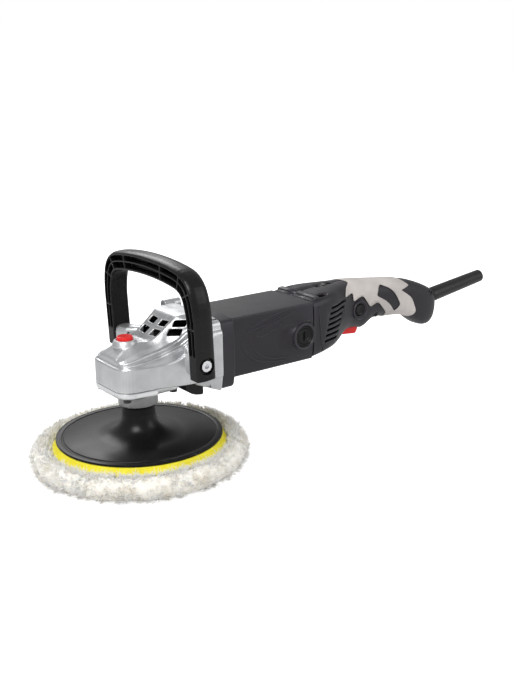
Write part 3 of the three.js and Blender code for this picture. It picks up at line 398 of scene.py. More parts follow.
def cast_aluminium():
    mat, tree, shader, coords = material("cast_aluminium", (0.6, 0.61, 0.62), 0.4, 0.85)
    cloudy = noise_node(tree, coords, 45, 4)
    grain = noise_node(tree, coords, 1400, 2)
    base = ramp(tree, cloudy, [(0.3, (0.47, 0.48, 0.49)), (0.7, (0.63, 0.64, 0.65))])
    edge_wear(tree, shader, base, (0.82, 0.83, 0.84))
    vary(tree, shader, cloudy, "Roughness", 0.3, 0.46)
    bump(tree, shader, [(cloudy, 0.0006), (grain, 0.00006)])
    return mat


def machined_metal(name, colour, roughness, stretch=(1, 1, 30)):
    mat, tree, shader, coords = material(name, colour, roughness, 1.0)
    lines = noise_node(tree, coords, 300, 2, stretch)
    base = ramp(tree, lines, [(0.3, tuple(c * 0.8 for c in colour)), (0.7, colour)])
    tree.links.new(base, shader.inputs["Base Color"])
    vary(tree, shader, lines, "Roughness", roughness * 0.8, roughness * 1.3)
    bump(tree, shader, [(lines, 0.00003)])
    return mat


def plastic(name, colour, roughness, grain=0.00005, grain_scale=1800, worn=None, gloss=0.25):
    """Moulded plastic with a spark-eroded grain and slightly uneven gloss."""
    mat, tree, shader, coords = material(name, colour, roughness)
    shader.inputs["Specular IOR Level"].default_value = gloss
    clouds = noise_node(tree, coords, 30, 3)
    speckle = noise_node(tree, coords, grain_scale, 2)
    dark, light = (tuple(c * share for c in colour) for share in (0.86, 1.12))
    base = ramp(tree, clouds, [(0.3, dark), (0.7, light)])
    if worn:
        edge_wear(tree, shader, base, worn)
    else:
        tree.links.new(base, shader.inputs["Base Color"])
    vary(tree, shader, clouds, "Roughness", roughness * 0.88, roughness * 1.14)
    bump(tree, shader, [(speckle, grain)])
    return mat


def foam_material():
    mat, tree, shader, coords = material("yellow_foam", (0.85, 0.72, 0.04), 0.85)
    cells = tree.nodes.new("ShaderNodeTexVoronoi")
    cells.inputs["Scale"].default_value = 900
    tree.links.new(coords, cells.inputs["Vector"])
    blotch = noise_node(tree, coords, 60, 3)
    base = ramp(tree, blotch, [(0.3, (0.88, 0.77, 0.03)), (0.7, (0.98, 0.88, 0.05))])
    tree.links.new(base, shader.inputs["Base Color"])
    bump(tree, shader, [(cells.outputs["Distance"], 0.0004)])
    shader.inputs["Subsurface Weight"].default_value = 0.1
    shader.inputs["Subsurface Radius"].default_value = (0.004, 0.003, 0.001)
    return mat


def wool_material(name, dark, light):
    mat, tree, shader, coords = material(name, light, 0.95)
    clump = noise_node(tree, coords, 75, 4)
    fibre = noise_node(tree, coords, 500, 3)
    # Low clump values, the hollows of the bump, take the darker cream: painted shade between the clumps,
    # over the fleece's own uneven tone
    base = ramp(tree, clump, [(0.32, dark), (0.5, light), (0.7, tuple(min(1, c * 1.04) for c in light))])
    tree.links.new(base, shader.inputs["Base Color"])
    bump(tree, shader, [(clump, 0.0015), (fibre, 0.0006)])
    shader.inputs["Sheen Weight"].default_value = 0.5
    shader.inputs["Sheen Roughness"].default_value = 0.6
    shader.inputs["Subsurface Weight"].default_value = 0.35
    shader.inputs["Subsurface Radius"].default_value = (0.006, 0.005, 0.004)
    return mat


CAST = cast_aluminium()
STEEL = machined_metal("ground_steel", (0.55, 0.56, 0.58), 0.28)
DARK_STEEL = machined_metal("black_steel", (0.06, 0.06, 0.065), 0.38)
ZINC = machined_metal("bright_zinc", (0.8, 0.81, 0.83), 0.16)
HOUSING = plastic("housing_plastic", (0.0135, 0.0115, 0.0155), 0.4, 0.00006, 1500,
                  (0.027, 0.024, 0.031), 0.36)
BLACK = plastic("black_plastic", (0.006, 0.006, 0.0063), 0.3, 0.00002, 1200,
                (0.012, 0.012, 0.012), 0.22)
SATIN = plastic("satin_black_plastic", (0.006, 0.006, 0.0063), 0.34, 0.00003, 900, None, 0.22)
GREY_GRIP = plastic("grey_overmould", (0.52, 0.485, 0.465), 0.65, 0.00009, 1300)
RUBBER = plastic("black_rubber", (0.008, 0.0077, 0.0073), 0.38, 0.00004, 700, None, 0.4)
RED = plastic("red_plastic", (0.72, 0.022, 0.022), 0.36, 0.00002, 900, None, 0.3)
FOAM = foam_material()
# The darker colour of each wool look is painted shade for the hollows between clumps
WOOL_BODY = wool_material("wool_fleece", (0.68, 0.63, 0.53), (0.9, 0.87, 0.8))
WOOL_STRAND = wool_material("wool_strands", (0.86, 0.82, 0.73), (0.96, 0.945, 0.9))
COPPER = machined_metal("lacquered_copper", (0.6, 0.24, 0.1), 0.35, (30, 1, 1))
BRASS = machined_metal("pressed_brass", (0.62, 0.46, 0.2), 0.3)
CARBON = plastic("graphite", (0.025, 0.025, 0.026), 0.7, 0.0001, 900)
# Painted shade: near-black for the faces lining the head's air chamber, which would be in shade
SHADOW = plastic("painted_shade_dark", (0.006, 0.006, 0.007), 0.8)

SLOT_LOOKS = {
    "cast_aluminium": CAST, "steel": STEEL, "dark_steel": DARK_STEEL, "zinc": ZINC,
    "housing_plastic": HOUSING, "black_plastic": BLACK, "grip_rubber": GREY_GRIP,
    "cord_rubber": RUBBER, "red_plastic": RED, "foam": FOAM, "wool": WOOL_BODY,
    "copper": COPPER, "brass": BRASS, "carbon": CARBON,
}


def finish(obj, look, body, node=None):
    """Gives a new piece its material and its body, and hides the CAD node it stands for."""
    if not any(obj.data.materials):
        obj.data.materials.clear()
        obj.data.materials.append(look)
    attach(obj, body)
    if node:
        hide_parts(node)
    return obj


# ---------------------------------- pads and backing plate

def backing_plate():
    """A plastic disc with a shallow groove near its rim and a trumpet-shaped hub."""
    rim, top = PLATE_HIGH[0], 31.6
    low, hub_top = PLATE_LOW[2], PLATE_HIGH[2]
    bore, hub = 7.3, 17.0
    flare = []
    foot, bend, neck = Vector((46, top)), Vector((18.5, 33)), Vector((hub, 55))
    for step in range(21):
        t = step / 20
        flare.append(tuple(foot * (1 - t) ** 2 + bend * 2 * t * (1 - t) + neck * t * t))
    profile = [
        (bore, low), (rim - 1, low), (rim - 0.3, low + 0.2), (rim, low + 0.9),
        (rim, top - 0.9), (rim - 0.3, top - 0.2), (rim - 1.2, top),
        (80.0, top), (79.5, top - 0.2), (79.1, top - 0.75), (78.2, top - 0.75), (77.8, top - 0.2),
        (77.3, top), *flare, (hub, hub_top - 0.8), (hub - 0.6, hub_top), (bore, hub_top),
    ]
    return finish(lathe("polisher_backing_plate", "z", profile, 160), SATIN, "spindle",
                  "backing_plate")


def foam_pad():
    low, high = FOAM_LOW[2], FOAM_HIGH[2]
    outer = FOAM_HIGH[0]

    def wobble(radius, along, turn):
        if radius < 50:
            return radius, along
        lump = noise.noise(Vector((math.cos(turn) * 9, math.sin(turn) * 9, along * 0.2)))
        return radius + 0.35 * lump, along

    profile = [(CENTRE_HOLE, low), (88.6, low), (outer - 0.3, low + 0.5), (outer - 0.1, low + 1.6)]
    for step in range(1, 9):
        t = step / 9
        radius = outer - 0.2 - 3.4 * t - 0.5 * math.sin(math.pi * t)
        profile.append((radius, low + 1.6 + (high - low - 2.4) * t))
    profile += [(86, high - 0.2), (85, high), (CENTRE_HOLE, high)]
    return finish(lathe("yellow_foam_pad", "z", profile, 220, wobble=wobble), FOAM, "spindle",
                  "foam_pad")


def hook_face():
    low, high = HOOK_LOW[2], HOOK_HIGH[2]
    rim = HOOK_HIGH[0]
    profile = [(CENTRE_HOLE, low), (rim - 0.4, low), (rim, low + 0.4), (rim, high - 0.4),
               (rim - 0.4, high), (CENTRE_HOLE, high)]
    return finish(lathe("hook_and_loop_face", "z", profile, 160), RUBBER, "spindle",
                  "hook_face")


# Half section of the fleece without its locks: radius and height.
WOOL_PROFILE = [
    (0, 0.0), (60, 0.0), (92, 0.0), (99, 0.6), (104.5, 2.6), (108.4, 6.5), (110.2, 11.5),
    (110.4, 16.5), (108.8, 21), (105, 24), (100.5, 24.8), (97, 23.2), (94.4, 20), (92.6, 17.8),
    (91.5, 17.4), (60, 17.4), (0, 17.4),
]


def wool_bump(turn, along):
    """Clumps of the fleece: slow swells with smaller tufts on them."""
    at = Vector((math.cos(turn) * 4.2, math.sin(turn) * 4.2, along * 0.045))
    fine = Vector((math.cos(turn) * 15, math.sin(turn) * 15, along * 0.16))
    return 1.5 * noise.noise(at) + 1.1 * noise.noise(fine)


def wool_pad():
    """The fleece as one lumpy ring of padding on a flat back."""
    longest, most = 2.2, 4  # length of a piece of the profile, and pieces to one stretch
    curve = []
    for (r0, z0), (r1, z1) in zip(WOOL_PROFILE, WOOL_PROFILE[1:]):
        pieces = min(most, max(1, round(math.hypot(r1 - r0, z1 - z0) / longest)))
        for k in range(pieces):
            t = k / pieces
            curve.append((r0 + (r1 - r0) * t, z0 + (z1 - z0) * t))
    curve.append(WOOL_PROFILE[-1])

    def wobble(radius, along, turn):
        if radius < 94:
            return radius, along
        swell = wool_bump(turn, along)
        return radius + swell, max(0.0, along + (0.5 * swell if along > 10 else 0))

    body = lathe("wool_fleece_body", "z", curve, 300, wobble=wobble, smooth=180)
    return finish(body, WOOL_BODY, "spindle", "wool_pad")


def add_strand(verts, faces, root, way, length, width, droop, bend):
    """A three-sided strand that thins to a point, appended to verts and faces."""
    side = way.cross(Vector((0.3, 0.2, 1))).normalized()
    lift = side.cross(way).normalized()
    sag = Vector((0, 0, -droop))
    base = len(verts)
    for t, size in ((0, 1.0), (0.45, 0.8), (0.8, 0.45)):
        centre = root + (way + bend * t + sag * t) * length * t
        for angle in (0, 2.094, 4.189):
            verts.append(centre + (side * math.cos(angle) + lift * math.sin(angle)) * width * size)
    verts.append(root + (way + bend + sag) * length)
    tip = base + 9
    faces.append((base + 2, base + 1, base))
    for k in range(3):
        j = (k + 1) % 3
        for ring in (base, base + 3):
            faces.append((ring + k, ring + j, ring + 3 + j, ring + 3 + k))
        faces.append((base + 6 + k, base + 6 + j, tip))


def wool_strands():
    """Short tapering locks of wool all round the rim of the pad, some lying over the foam."""
    pick = random.Random(SEED)
    verts, faces = [], []

    def scatter(*spreads):
        return Vector([pick.gauss(0, spread) for spread in spreads])

    def strand(root, way, length, width, droop):
        bend = Vector([pick.uniform(-1, 1) for _ in range(3)]) * 0.5
        add_strand(verts, faces, root, way, length, width, droop, bend)

    def direction():
        """A random place round the pad: its outward and sideways directions."""
        turn = pick.uniform(0, 2 * math.pi)
        return Vector((math.cos(turn), math.sin(turn), 0)), Vector((-math.sin(turn), math.cos(turn), 0))

    locks, to_a_lock = 3200, 6
    for _ in range(locks):
        radial, tangent = direction()
        # From under the rim, round the outside, to its inner top.
        angle = math.radians(-70 + 225 * pick.random() ** 0.85)
        root = radial * (100.0 + 9.0 * math.cos(angle))
        root.z = max(0.6, 12.6 + 11.2 * math.sin(angle))
        lean = pick.gauss(0, 0.55)
        upwards = Vector((0, 0, 0.5 + math.sin(angle) * 0.5))
        out = (radial * math.cos(angle) * 0.6 + upwards + tangent * lean * 0.8).normalized()
        length = pick.uniform(4.5, 8.5)
        for _ in range(to_a_lock):
            shift = scatter(1.2, 1.2, 0.9)
            way = (out + scatter(0.2, 0.2, 0.18)).normalized()
            strand(root + shift, way, length * pick.uniform(0.6, 1.1), pick.uniform(0.2, 0.42), 0.25)
    # Locks combed up against the foam's edge, a few of them long.
    for _ in range(locks // 7):
        radial, tangent = direction()
        root = radial * pick.uniform(93.5, 97)
        root.z = pick.uniform(18.5, 22)
        inwards = radial * pick.uniform(-0.2, 0.35)
        way = (Vector((0, 0, 0.9)) - inwards + tangent * pick.gauss(0, 0.8)).normalized()
        lengths = (6, 11) if pick.random() < 0.18 else (3, 6.5)
        for _ in range(4):
            shift = tangent * pick.gauss(0, 1.0) + radial * pick.gauss(0, 0.4)
            strand(root + shift, way, pick.uniform(*lengths), pick.uniform(0.16, 0.34), 0.1)
    floor = 0.05
    verts = [Vector((v.x, v.y, max(floor, v.z))) for v in verts]
    return finish(make("wool_strands", verts, faces, 180), WOOL_STRAND, "spindle", None)


# ---------------------------------- gear head

def head_plan(inset, rear_points):
    """The head seen from above: a squared front with large round corners."""
    front, half = HEAD_LOW[0] + inset, HEAD_HALF - inset
    points = [(front, 0), (front, 33.3, 20), *rear_points]
    points += [(x, -y, *r) for x, y, *r in reversed(points[1:])]
    return rounded(points, 8)


def cover_loop(inset, z):
    """The bearing cover's outline: as wide as the head in front, narrower behind."""
    wide, narrow = HEAD_HALF - inset, COVER_HALF - inset
    rear = [(2 - inset, wide), (2.6 - inset, narrow), (35 - inset, narrow, 16)]
    return [(p[0], p[1], z) for p in head_plan(inset, rear)]


def bearing_cover():
    low, high = COVER_LOW[2], COVER_HIGH[2]
    plate = COVER_PLATE
    levels = [(2.2, plate), (0.7, plate + 0.6), (0, plate + 1.8), (0, high - 0.6), (0.5, high)]
    body = rings("cast_bearing_cover", [cover_loop(inset, z) for inset, z in levels])
    collar = lathe("collar", "z", [
        (0, low), (19.2, low), (20.2, low + 0.4), (20.5, low + 1.2), (20.5, plate - 3.2),
        (21.0, plate - 1.6), (22.2, plate - 0.4), (24, plate + 0.1), (24, plate + 2), (0, plate + 2),
    ], 96)
    merge(body, [collar], "UNION")
    bore = rod("bore", "z", CENTRE_HOLE, 50, 100, (0, 0, 0), 64)
    pocket = rod("pocket", "z", 17.5, 69.5, 100, (0, 0, 0), 64)
    merge(body, [bore, pocket], "DIFFERENCE")
    return finish(body, CAST, "casing", "bearing_cover")


SLOPE_FOOT, SLOPE_TOP = (8.0, 130.0), (38.0, 153.4)  # x and z of the window face

# Half sections of the hood, front to back: x, height at the centre, half width of its flat,
# then (y, z) of the crest and of the two lower ridges.
HOOD = [
    (-31.4, 112.4, 9, (14, 112.3), (18, 112.2), (22, 112.1)),
    (-30.7, 118.8, 10, (19, 116.4), (23.5, 114.9), (26.5, 113.6)),
    (-26, 122.4, 11, (22, 118.4), (27.5, 117.2), (30.5, 114.6)),
    (-14, 129.6, 10, (22.5, 121.8), (30, 119.2), (33.6, 116.2)),
    (-4, 131.0, 10, (22.5, 124.4), (31, 121.5), (35.2, 117.4)),
    (7, 131.2, 16, (23, 127), (32.5, 124), (36.8, 119.6)),
    (17, 137.0, 19.5, (24, 130.7), (34, 127), (39, 123)),
    (24, 142.5, 20, (25.5, 133), (34.5, 129.5), (40, 125)),
    (31, 148, 20.5, (28.5, 137.2), (35.2, 133), (40.5, 127)),
    (38, 153.2, 21.5, (31.5, 144.5), (36.5, 138.2), (41.5, 131)),
    (45, 154, 23, (34, 147.5), (38.7, 142.3), (43, 135)),
    (52, 154, 24, (35.5, 148.5), (40.2, 144), (44, 138)),
    (63.5, 154, 24.5, (36, 149), (40.5, 144.5), (44, 140)),
]


def hood(name, inset, floor, first=0, groove=2.2):
    """The sculpted top of the head, or with an inset the space inside it."""
    def between(a, b):
        return ((a[0] + b[0]) / 2 - 0.4 * groove, (a[1] + b[1]) / 2 - groove)

    lanes = [[] for _ in range(9)]
    for x, high, flat, crest, second, third in HOOD[first:]:
        half = [(0, high), (flat, high), crest, between(crest, second), second,
                between(second, third), third, (third[0] + 0.8, third[1] - 3), (third[0] + 1.2, floor)]
        for lane, (y, z) in zip(lanes, half):
            lane.append((x, max(0, y - inset), max(floor, z - inset)))
    if inset:  # the space runs out through the head's rear
        for lane in lanes:
            lane.append((HEAD_REAR + 2, *lane[-1][1:]))
    smooth = [curve_through(lane, 4) for lane in lanes]
    loops = []
    for side in zip(*smooth):
        loops.append([*side, *(Vector((p.x, -p.y, p.z)) for p in reversed(side[1:]))])
    return rings(name, loops)


def head_wall():
    """The upright wall round the gears, with a rounded ledge on top."""
    rear = [(2, HEAD_HALF), (36, 46.5, 8), (HEAD_REAR, 44)]
    loops = []
    for inset, z in ((0.5, 87.2), (0, 87.8), (0.3, 110.4), (1.0, 111.6), (2.2, 112.2)):
        points = head_plan(inset, [(x, y - inset, *r) for x, y, *r in rear])
        loops.append([(min(p[0], HEAD_REAR), p[1], z) for p in points])
    return rings("gear_housing_shell", loops)


def head_body():
    """The neck behind the gears: its end view, side view and plan meet in one block."""
    end = rounded(mirrored_outline([
        (33, 69.8, 4), (40.5, 78, 5), (44.5, 92, 8), (46.6, 108, 8), (45.4, 126, 8),
        (43.5, 137, 7), (30, 141, 6), (14, 142, 8),
    ]), 6)
    side = rounded([
        (5, 88), (42, 88), (44, 84), (HEAD_REAR, 69.8), (HEAD_REAR, 139), (52, 133, 8),
        (37, 122.5, 8), (28, 116, 8), (16, 111.6, 8), (5, 110.6),
    ], 6)
    plan = rounded([(5, -38.2), (36, -46.3, 12), (HEAD_REAR, -44), (HEAD_REAR, 44), (36, 46.3, 12),
                    (5, 38.2)], 6)
    body = prism("body", "x", end, 5, HEAD_REAR)
    merge(body, [prism("side", "y", side, -60, 60)], "INTERSECT")
    return merge(body, [prism("plan", "z", plan, 60, 160)], "INTERSECT")


def handle_arm(side):
    loops = []
    for y, x0, x1, z0, z1 in ((38, 34, 58, 101, 129), (50, 30, 52, 103, 127.5), (55, 25, 47, 104, 127),
                              (60, 21, 42, 104.5, 127), (71, 18.5, 38, 104.5, 126.8),
                              (ARM_SEAT, 17.8, 38, 104.5, 126.8)):
        outline = rounded([(x0, z0, 7), (x1, z0, 7), (x1, z1, 7), (x0, z1, 7)], 4)
        loops.append([(x, side * y, z) for x, z in outline])
    return rings("arm", loops)


def window_cutters():
    """Cooling windows: two rows of four. The outer ones lie where the hood bends down."""
    cutters = []
    slope = (SLOPE_TOP[1] - SLOPE_FOOT[1]) / (SLOPE_TOP[0] - SLOPE_FOOT[0])
    rise = Vector((1, 0, slope)).normalized()
    front = Vector((-slope, 0, 1)).normalized()
    steep = Vector((0.49, 0, 0.87))
    # Centre, direction up the row, direction across, depth, half height and half width.
    rows = [
        ((17.3, 10.2, 137.3), rise, (0.12, 1, 0), front, 4.3, 6.3),
        ((27.6, 9.8, 145.3), rise, (0.12, 1, 0), front, 3.9, 6.1),
        ((30.0, 27.6, 138.8), steep, (0.6, 0.79, 0.09), None, 3.7, 7.4),
        ((36.0, 28.4, 147.2), steep, (0.6, 0.79, 0.09), None, 3.6, 7.2),
    ]
    for centre, up, across, depth, half_up, half_across in rows:
        for side in (-1, 1):
            sideways = Vector((across[0], across[1] * side, across[2])).normalized()
            inward = depth or Vector((-0.58, 0.77 * side, 0.29))
            loop = rounded([(-half_up, -half_across, 1.2), (half_up, -half_across, 1.2),
                            (half_up, half_across, 1.2), (-half_up, half_across, 1.2)], 3)
            middle = Vector((centre[0], side * centre[1], centre[2]))
            loops = [[middle + up * a + sideways * b + inward * reach for a, b in loop]
                     for reach in (-9, 12)]
            cutters.append(rings("window", loops))
    return cutters


def air_chamber():
    chamber = hood("chamber", 2.7, 127.5, 5, 0)
    plan = mirrored_outline([(21, 20), (28, 28), (32, 38), (36, 50), (37, HEAD_REAR + 1.5)])
    inside = prism("plan", "z", [(x, y) for y, x in plan], 100, 170)
    merge(chamber, [inside], "INTERSECT")
    return merge(chamber, [block("lid", (61, -60, 145.2), (HEAD_REAR + 9, 60, 170))], "DIFFERENCE")


def darken_inside(obj, chamber):
    """Faces that line the air chamber take painted shade, the dark look of an unlit duct."""
    tree = BVHTree.FromPolygons([v.co for v in chamber.data.vertices],
                                [tuple(p.vertices) for p in chamber.data.polygons])
    obj.data.materials.clear()
    obj.data.materials.append(CAST)
    obj.data.materials.append(SHADOW)
    for face in obj.data.polygons:
        distance = tree.find_nearest(face.center)[3]
        if distance < 0.75 * MM and face.center.x < HEAD_REAR * MM - 0.0006:
            # these faces take the painted shade
            face.material_index = 1
    bpy.data.objects.remove(chamber)


def rear_rim():
    """A smooth rim at the rear of the head, trimmed below to the slope of the neck."""
    rim = prism("rim", "x", flange_section(1.4), 63, HEAD_REAR)
    keep = [(60, 77.2), (HEAD_REAR + 2, 69), (HEAD_REAR + 2, 160), (60, 160)]
    return merge(rim, [prism("neck_slope", "y", keep, -60, 60)], "INTERSECT")


def nose_panel():
    """The plain raised plate on the slope in front of the lock button."""
    foot_x, foot_half, foot_z = -30.4, 15, 119.2
    top_x, top_half, top_z = -17, 11, 127.8
    corners = ((foot_x, -foot_half, foot_z), (top_x, -top_half, top_z), (top_x, top_half, top_z),
               (foot_x, foot_half, foot_z))
    return rings("panel", [[(x, y, z + rise) for x, y, z in corners] for rise in (-3, 0.7)])


def head_hollows():
    """Everything cut from the head: gears, shaft, lock, air way and screw holes."""
    hollows = [
        rod("chamber", "z", 33.4, 80, 108, (0, 0, 0), 64),
        rod("tunnel", "x", 16.1, 25, HEAD_REAR + 1, (0, 0, MOTOR_Z), 48),
        rod("well", "z", 8.7, 126.4, 140, (BUTTON_X, 0, 0), 48),
        rod("needle", "z", 6.6, 100, 122, (0, 0, 0), 24),
        rod("pin", "z", 2.4, 100, 130, (BUTTON_X, 0, 0), 24),
        block("duct", (52, -28, 76), (HEAD_REAR + 1, 28, 89)),
    ]
    for side in (-1, 1):
        hollows.append(rod("arm_bolt", "y", 4.6, side * 56, side * 80, (BOLT_X, 0, BOLT_Z), 32))
    for y, z in ((34, 138), (-34, 138), (32, 80), (-32, 80)):
        hollows.append(rod("counterbore", "x", 5, 50, 68, (0, y, z), 32))
        hollows.append(rod("clearance", "x", 2.8, 60, HEAD_REAR + 1, (0, y, z), 24))
    screw_circle = 37.5
    for eighth in (1, 3, 5, 7):
        turn = eighth * math.pi / 4
        at = (screw_circle * math.cos(turn), screw_circle * math.sin(turn), 0)
        hollows.append(rod("cover_hole", "z", 2.4, 80, 98, at, 24))
    return [*hollows, air_chamber(), *window_cutters()]


def gear_housing():
    body = head_wall()
    boss = lathe("boss", "z", [
        (0, 122), (13.4, 127), (11.8, 131.2), (11.0, 132.8), (10.3, 133.4), (0, 133.4),
    ], 64, (BUTTON_X, 0, 0))
    bump = rod("bump", "x", 5.2, 52, 72, (0, 30, 152.4), 32)
    arms = [handle_arm(side) for side in (-1, 1)]
    merge(body, [head_body()], "UNION")
    merge(body, [hood("hood", 0, 108), boss, bump, nose_panel(), rear_rim(), *arms], "UNION")
    merge(body, head_hollows(), "DIFFERENCE")
    soften(body, 0.62, 4)
    darken_inside(body, air_chamber())
    return finish(body, CAST, "casing", "gear_housing")


def air_deflector():
    side = rounded([(43, 83), (38.5, 80.4), (39, 76, 3), (47.5, 69.4, 6), (60, 67.4, 3), (60, 76)], 5)
    body = prism("scoop", "y", side, -31, 31)
    inside = rounded([
        (46.4, 79.5), (46.4, 75, 3), (51.6, 70.4, 3), (58.4, 69.6), (58.4, 90), (46.4, 90),
    ], 4)
    merge(body, [prism("inside", "y", inside, -29.2, 29.2)], "DIFFERENCE")
    ribs = [block("rib", (46, y - 0.8, 70.4), (59, y + 0.8, 76)) for y in (-19, -7, 7, 19)]
    piece = join([body, *ribs])
    piece.name = "exhaust_air_deflector"
    bevel(piece, 0.5)
    return finish(piece, BLACK, "casing", "air_deflector")


def lock_button():
    top, low, radius = BUTTON_HIGH[2], BUTTON_LOW[2], (BUTTON_HIGH[0] - BUTTON_LOW[0]) / 2
    profile = [(0, low), (radius, low), (radius, top - 1.3), (radius - 0.35, top - 0.5),
               (radius - 1.1, top - 0.1), (radius - 2.2, top - 0.05), (radius - 3.4, top - 0.35),
               (0, top - 0.5)]
    body = lathe("spindle_lock_button", "z", profile, 64, (BUTTON_X, 0, 0))
    # Two small recessed dots mark the button.
    for dx in (-1.6, 1.6):
        merge(body, [rod("mark", "z", 0.8, top - 0.9, top + 1, (BUTTON_X + dx, 0, 0), 20)], "DIFFERENCE")
    return finish(body, RED, "spindle_lock", "lock_button")


# ---------------------------------- loop handle

LOOP_HALF = 90.0
LOOP_THICK = 15.0
LOOP_FRONT, LOOP_REAR = 16.0, 38.0
LOOP_LEAN = math.radians(2)


def loop_path(inset):
    """Centre of a band this far inside the handle's outside: (y, z) points and outward normals."""
    edge = -LOOP_HALF
    shape = [(edge, 104.5), (edge, 118), (edge, 134), (edge, 150), (-89.6, 169), (-86.5, 187), (-79.5, 200),
             (-67, 208.8), (-48, 212.6), (-24, 214.8), (0, 215.5)]
    shape += [(-y, z) for y, z in reversed(shape[:-1])]
    outside = [(p.x, p.y) for p in curve_through([(y, z, 0) for y, z in shape], 3)]
    result = []
    for i, (y, z) in enumerate(outside):
        y0, z0 = outside[max(i - 1, 0)]
        y1, z1 = outside[min(i + 1, len(outside) - 1)]
        length = math.hypot(y1 - y0, z1 - z0)
        normal = (-(z1 - z0) / length, (y1 - y0) / length)
        result.append(((y - normal[0] * inset, z - normal[1] * inset), normal))
    return result


def lean(point):
    """The loop's lean about its bolts."""
    x, y, z = point
    dx, dz = x - BOLT_X, z - BOLT_Z
    c, s = math.cos(LOOP_LEAN), math.sin(LOOP_LEAN)
    return (BOLT_X + dx * c - dz * s, y, BOLT_Z + dz * c + dx * s)


def loop_sweep(name, section, part=None):
    """Sweeps a section of (depth from the outside, x) along the loop, or along part of it."""
    centre = loop_path(LOOP_THICK / 2)
    if part:
        centre = centre[part[0]:part[1]]
    loops = []
    for (y, z), (ny, nz) in centre:
        thicker = 1 + 0.3 * min(1, max(0, (z - 160) / 40))  # the bar is deepest across the top
        loop = []
        for depth, x in section:
            out = LOOP_THICK / 2 - depth * thicker
            loop.append(lean((x, y + ny * out, z + nz * out)))
        loops.append(loop)
    return rings(name, loops, 40)


def pocket_stretches():
    """Where the pockets lie, as ranges of points along the loop, the same on both sides."""
    count = len(loop_path(0))
    starts = (5, 10, 16, 21, 26)
    near = list(zip(starts, starts[1:]))
    far = [(count - b, count - a) for a, b in near]
    return [*near, *far, (starts[-1], count - starts[-1])]


def loop_handle():
    """A deep bar with two rows of pockets along its front, and solid feet."""
    front, rear, thick = LOOP_FRONT, LOOP_REAR, LOOP_THICK
    section = rounded([
        (2.0, front, 1.2), (0.2, front + 4, 3), (0.2, rear - 5.5, 4), (2.6, rear, 2.2),
        (thick - 1.6, rear, 2.0), (thick + 0.6, rear - 4, 3), (thick + 0.6, front + 2, 1.4),
        (thick, front, 1.0),
    ], 4)
    body = loop_sweep("loop_handle_bar", section)
    pocket_depth, web_half = 9, 0.8
    for low, high in ((3.4, 7.6), (8.8, 13.6)):
        slot = [(low, front - 2), (low, front + pocket_depth), (high, front + pocket_depth),
                (high, front - 2)]
        for first, last in pocket_stretches():
            cutter = loop_sweep("pocket", slot, (first, last + 1))
            shrink_along(cutter, web_half)
            merge(body, [cutter], "DIFFERENCE")
    bolt = (BOLT_X, 0, BOLT_Z)
    for side in (-1, 1):
        recess = rod("recess", "y", 8.6, side * (LOOP_HALF - 6), side * (LOOP_HALF + 8), bolt, 48)
        hole = rod("bolt_hole", "y", 4.4, side * 70, side * 100, bolt, 32)
        line = side_block("foot_line", side, (18, LOOP_HALF - 1.4, 134.4), (37, LOOP_HALF + 0.2, 135.4))
        merge(body, [recess, hole, line], "DIFFERENCE")
    soften(body, 0.55, 3)
    return finish(body, BLACK, "casing", "loop_handle")


def shrink_along(obj, gap):
    """Leaves a web between neighbouring pockets: pulls a swept cutter's two ends inwards."""
    verts = list(obj.data.vertices)
    for group, other in ((verts[:4], verts[4:8]), (verts[-4:], verts[-8:-4])):
        for v, w in zip(group, other):
            v.co += (w.co - v.co).normalized() * gap * MM


# ---------------------------------- motor section

def body_section(grow=0.0):
    half, bottom, top = BODY_HALF + grow, BODY_BOTTOM - grow, BODY_TOP + grow
    return rounded(mirrored_outline([
        (half - 2.0, bottom, 3), (half - 0.2, 96, 9), (half, 112, 9), (half - 0.4, 130, 9),
        (half - 0.9, top - 0.9, 1.6), (22, top - 0.2, 8), (8, top, 6),
    ]), 4)


def flange_section(grow=0.0):
    half, bottom, top = FLANGE_HALF + grow, FLANGE_BOTTOM - grow, FLANGE_TOP + grow
    return rounded(mirrored_outline([
        (half - 4.5, bottom, 4.5), (half - 0.4, 90, 9), (half, 108, 9), (half - 0.6, 128, 9),
        (half - 4.2, top - 3.4, 3.5), (22, top - 0.4, 8), (8, top, 6),
    ]), 4)


def flank_relief(side):
    """Shallow leaf-shaped lines moulded into each flank."""
    paths = [
        [(112, 128.5), (128, 134), (150, 139.6), (172, 141.6)],
        [(112, 128.0), (126, 128.5), (146, 133), (172, 141.2)],
        [(122, 122.5), (136, 128), (156, 133.5), (176, 137.2)],
        [(122, 122), (128, 118.5), (140, 121), (160, 129)],
        [(104, 120), (108, 106), (120, 95), (140, 88.5), (166, 86)],
        [(116, 118), (120, 106), (130, 97), (146, 91.5), (168, 88.6)],
    ]
    lines = []
    for path in paths:
        # The flank is flat between these heights and turns inwards beyond them.
        points = [(x, side * (38.25 if 90 < z < 134 else 37.7), z) for x, z in path]
        lines.append(tube("relief", curve_through(points, 8), 0.75, 8, 0.5))
    return lines


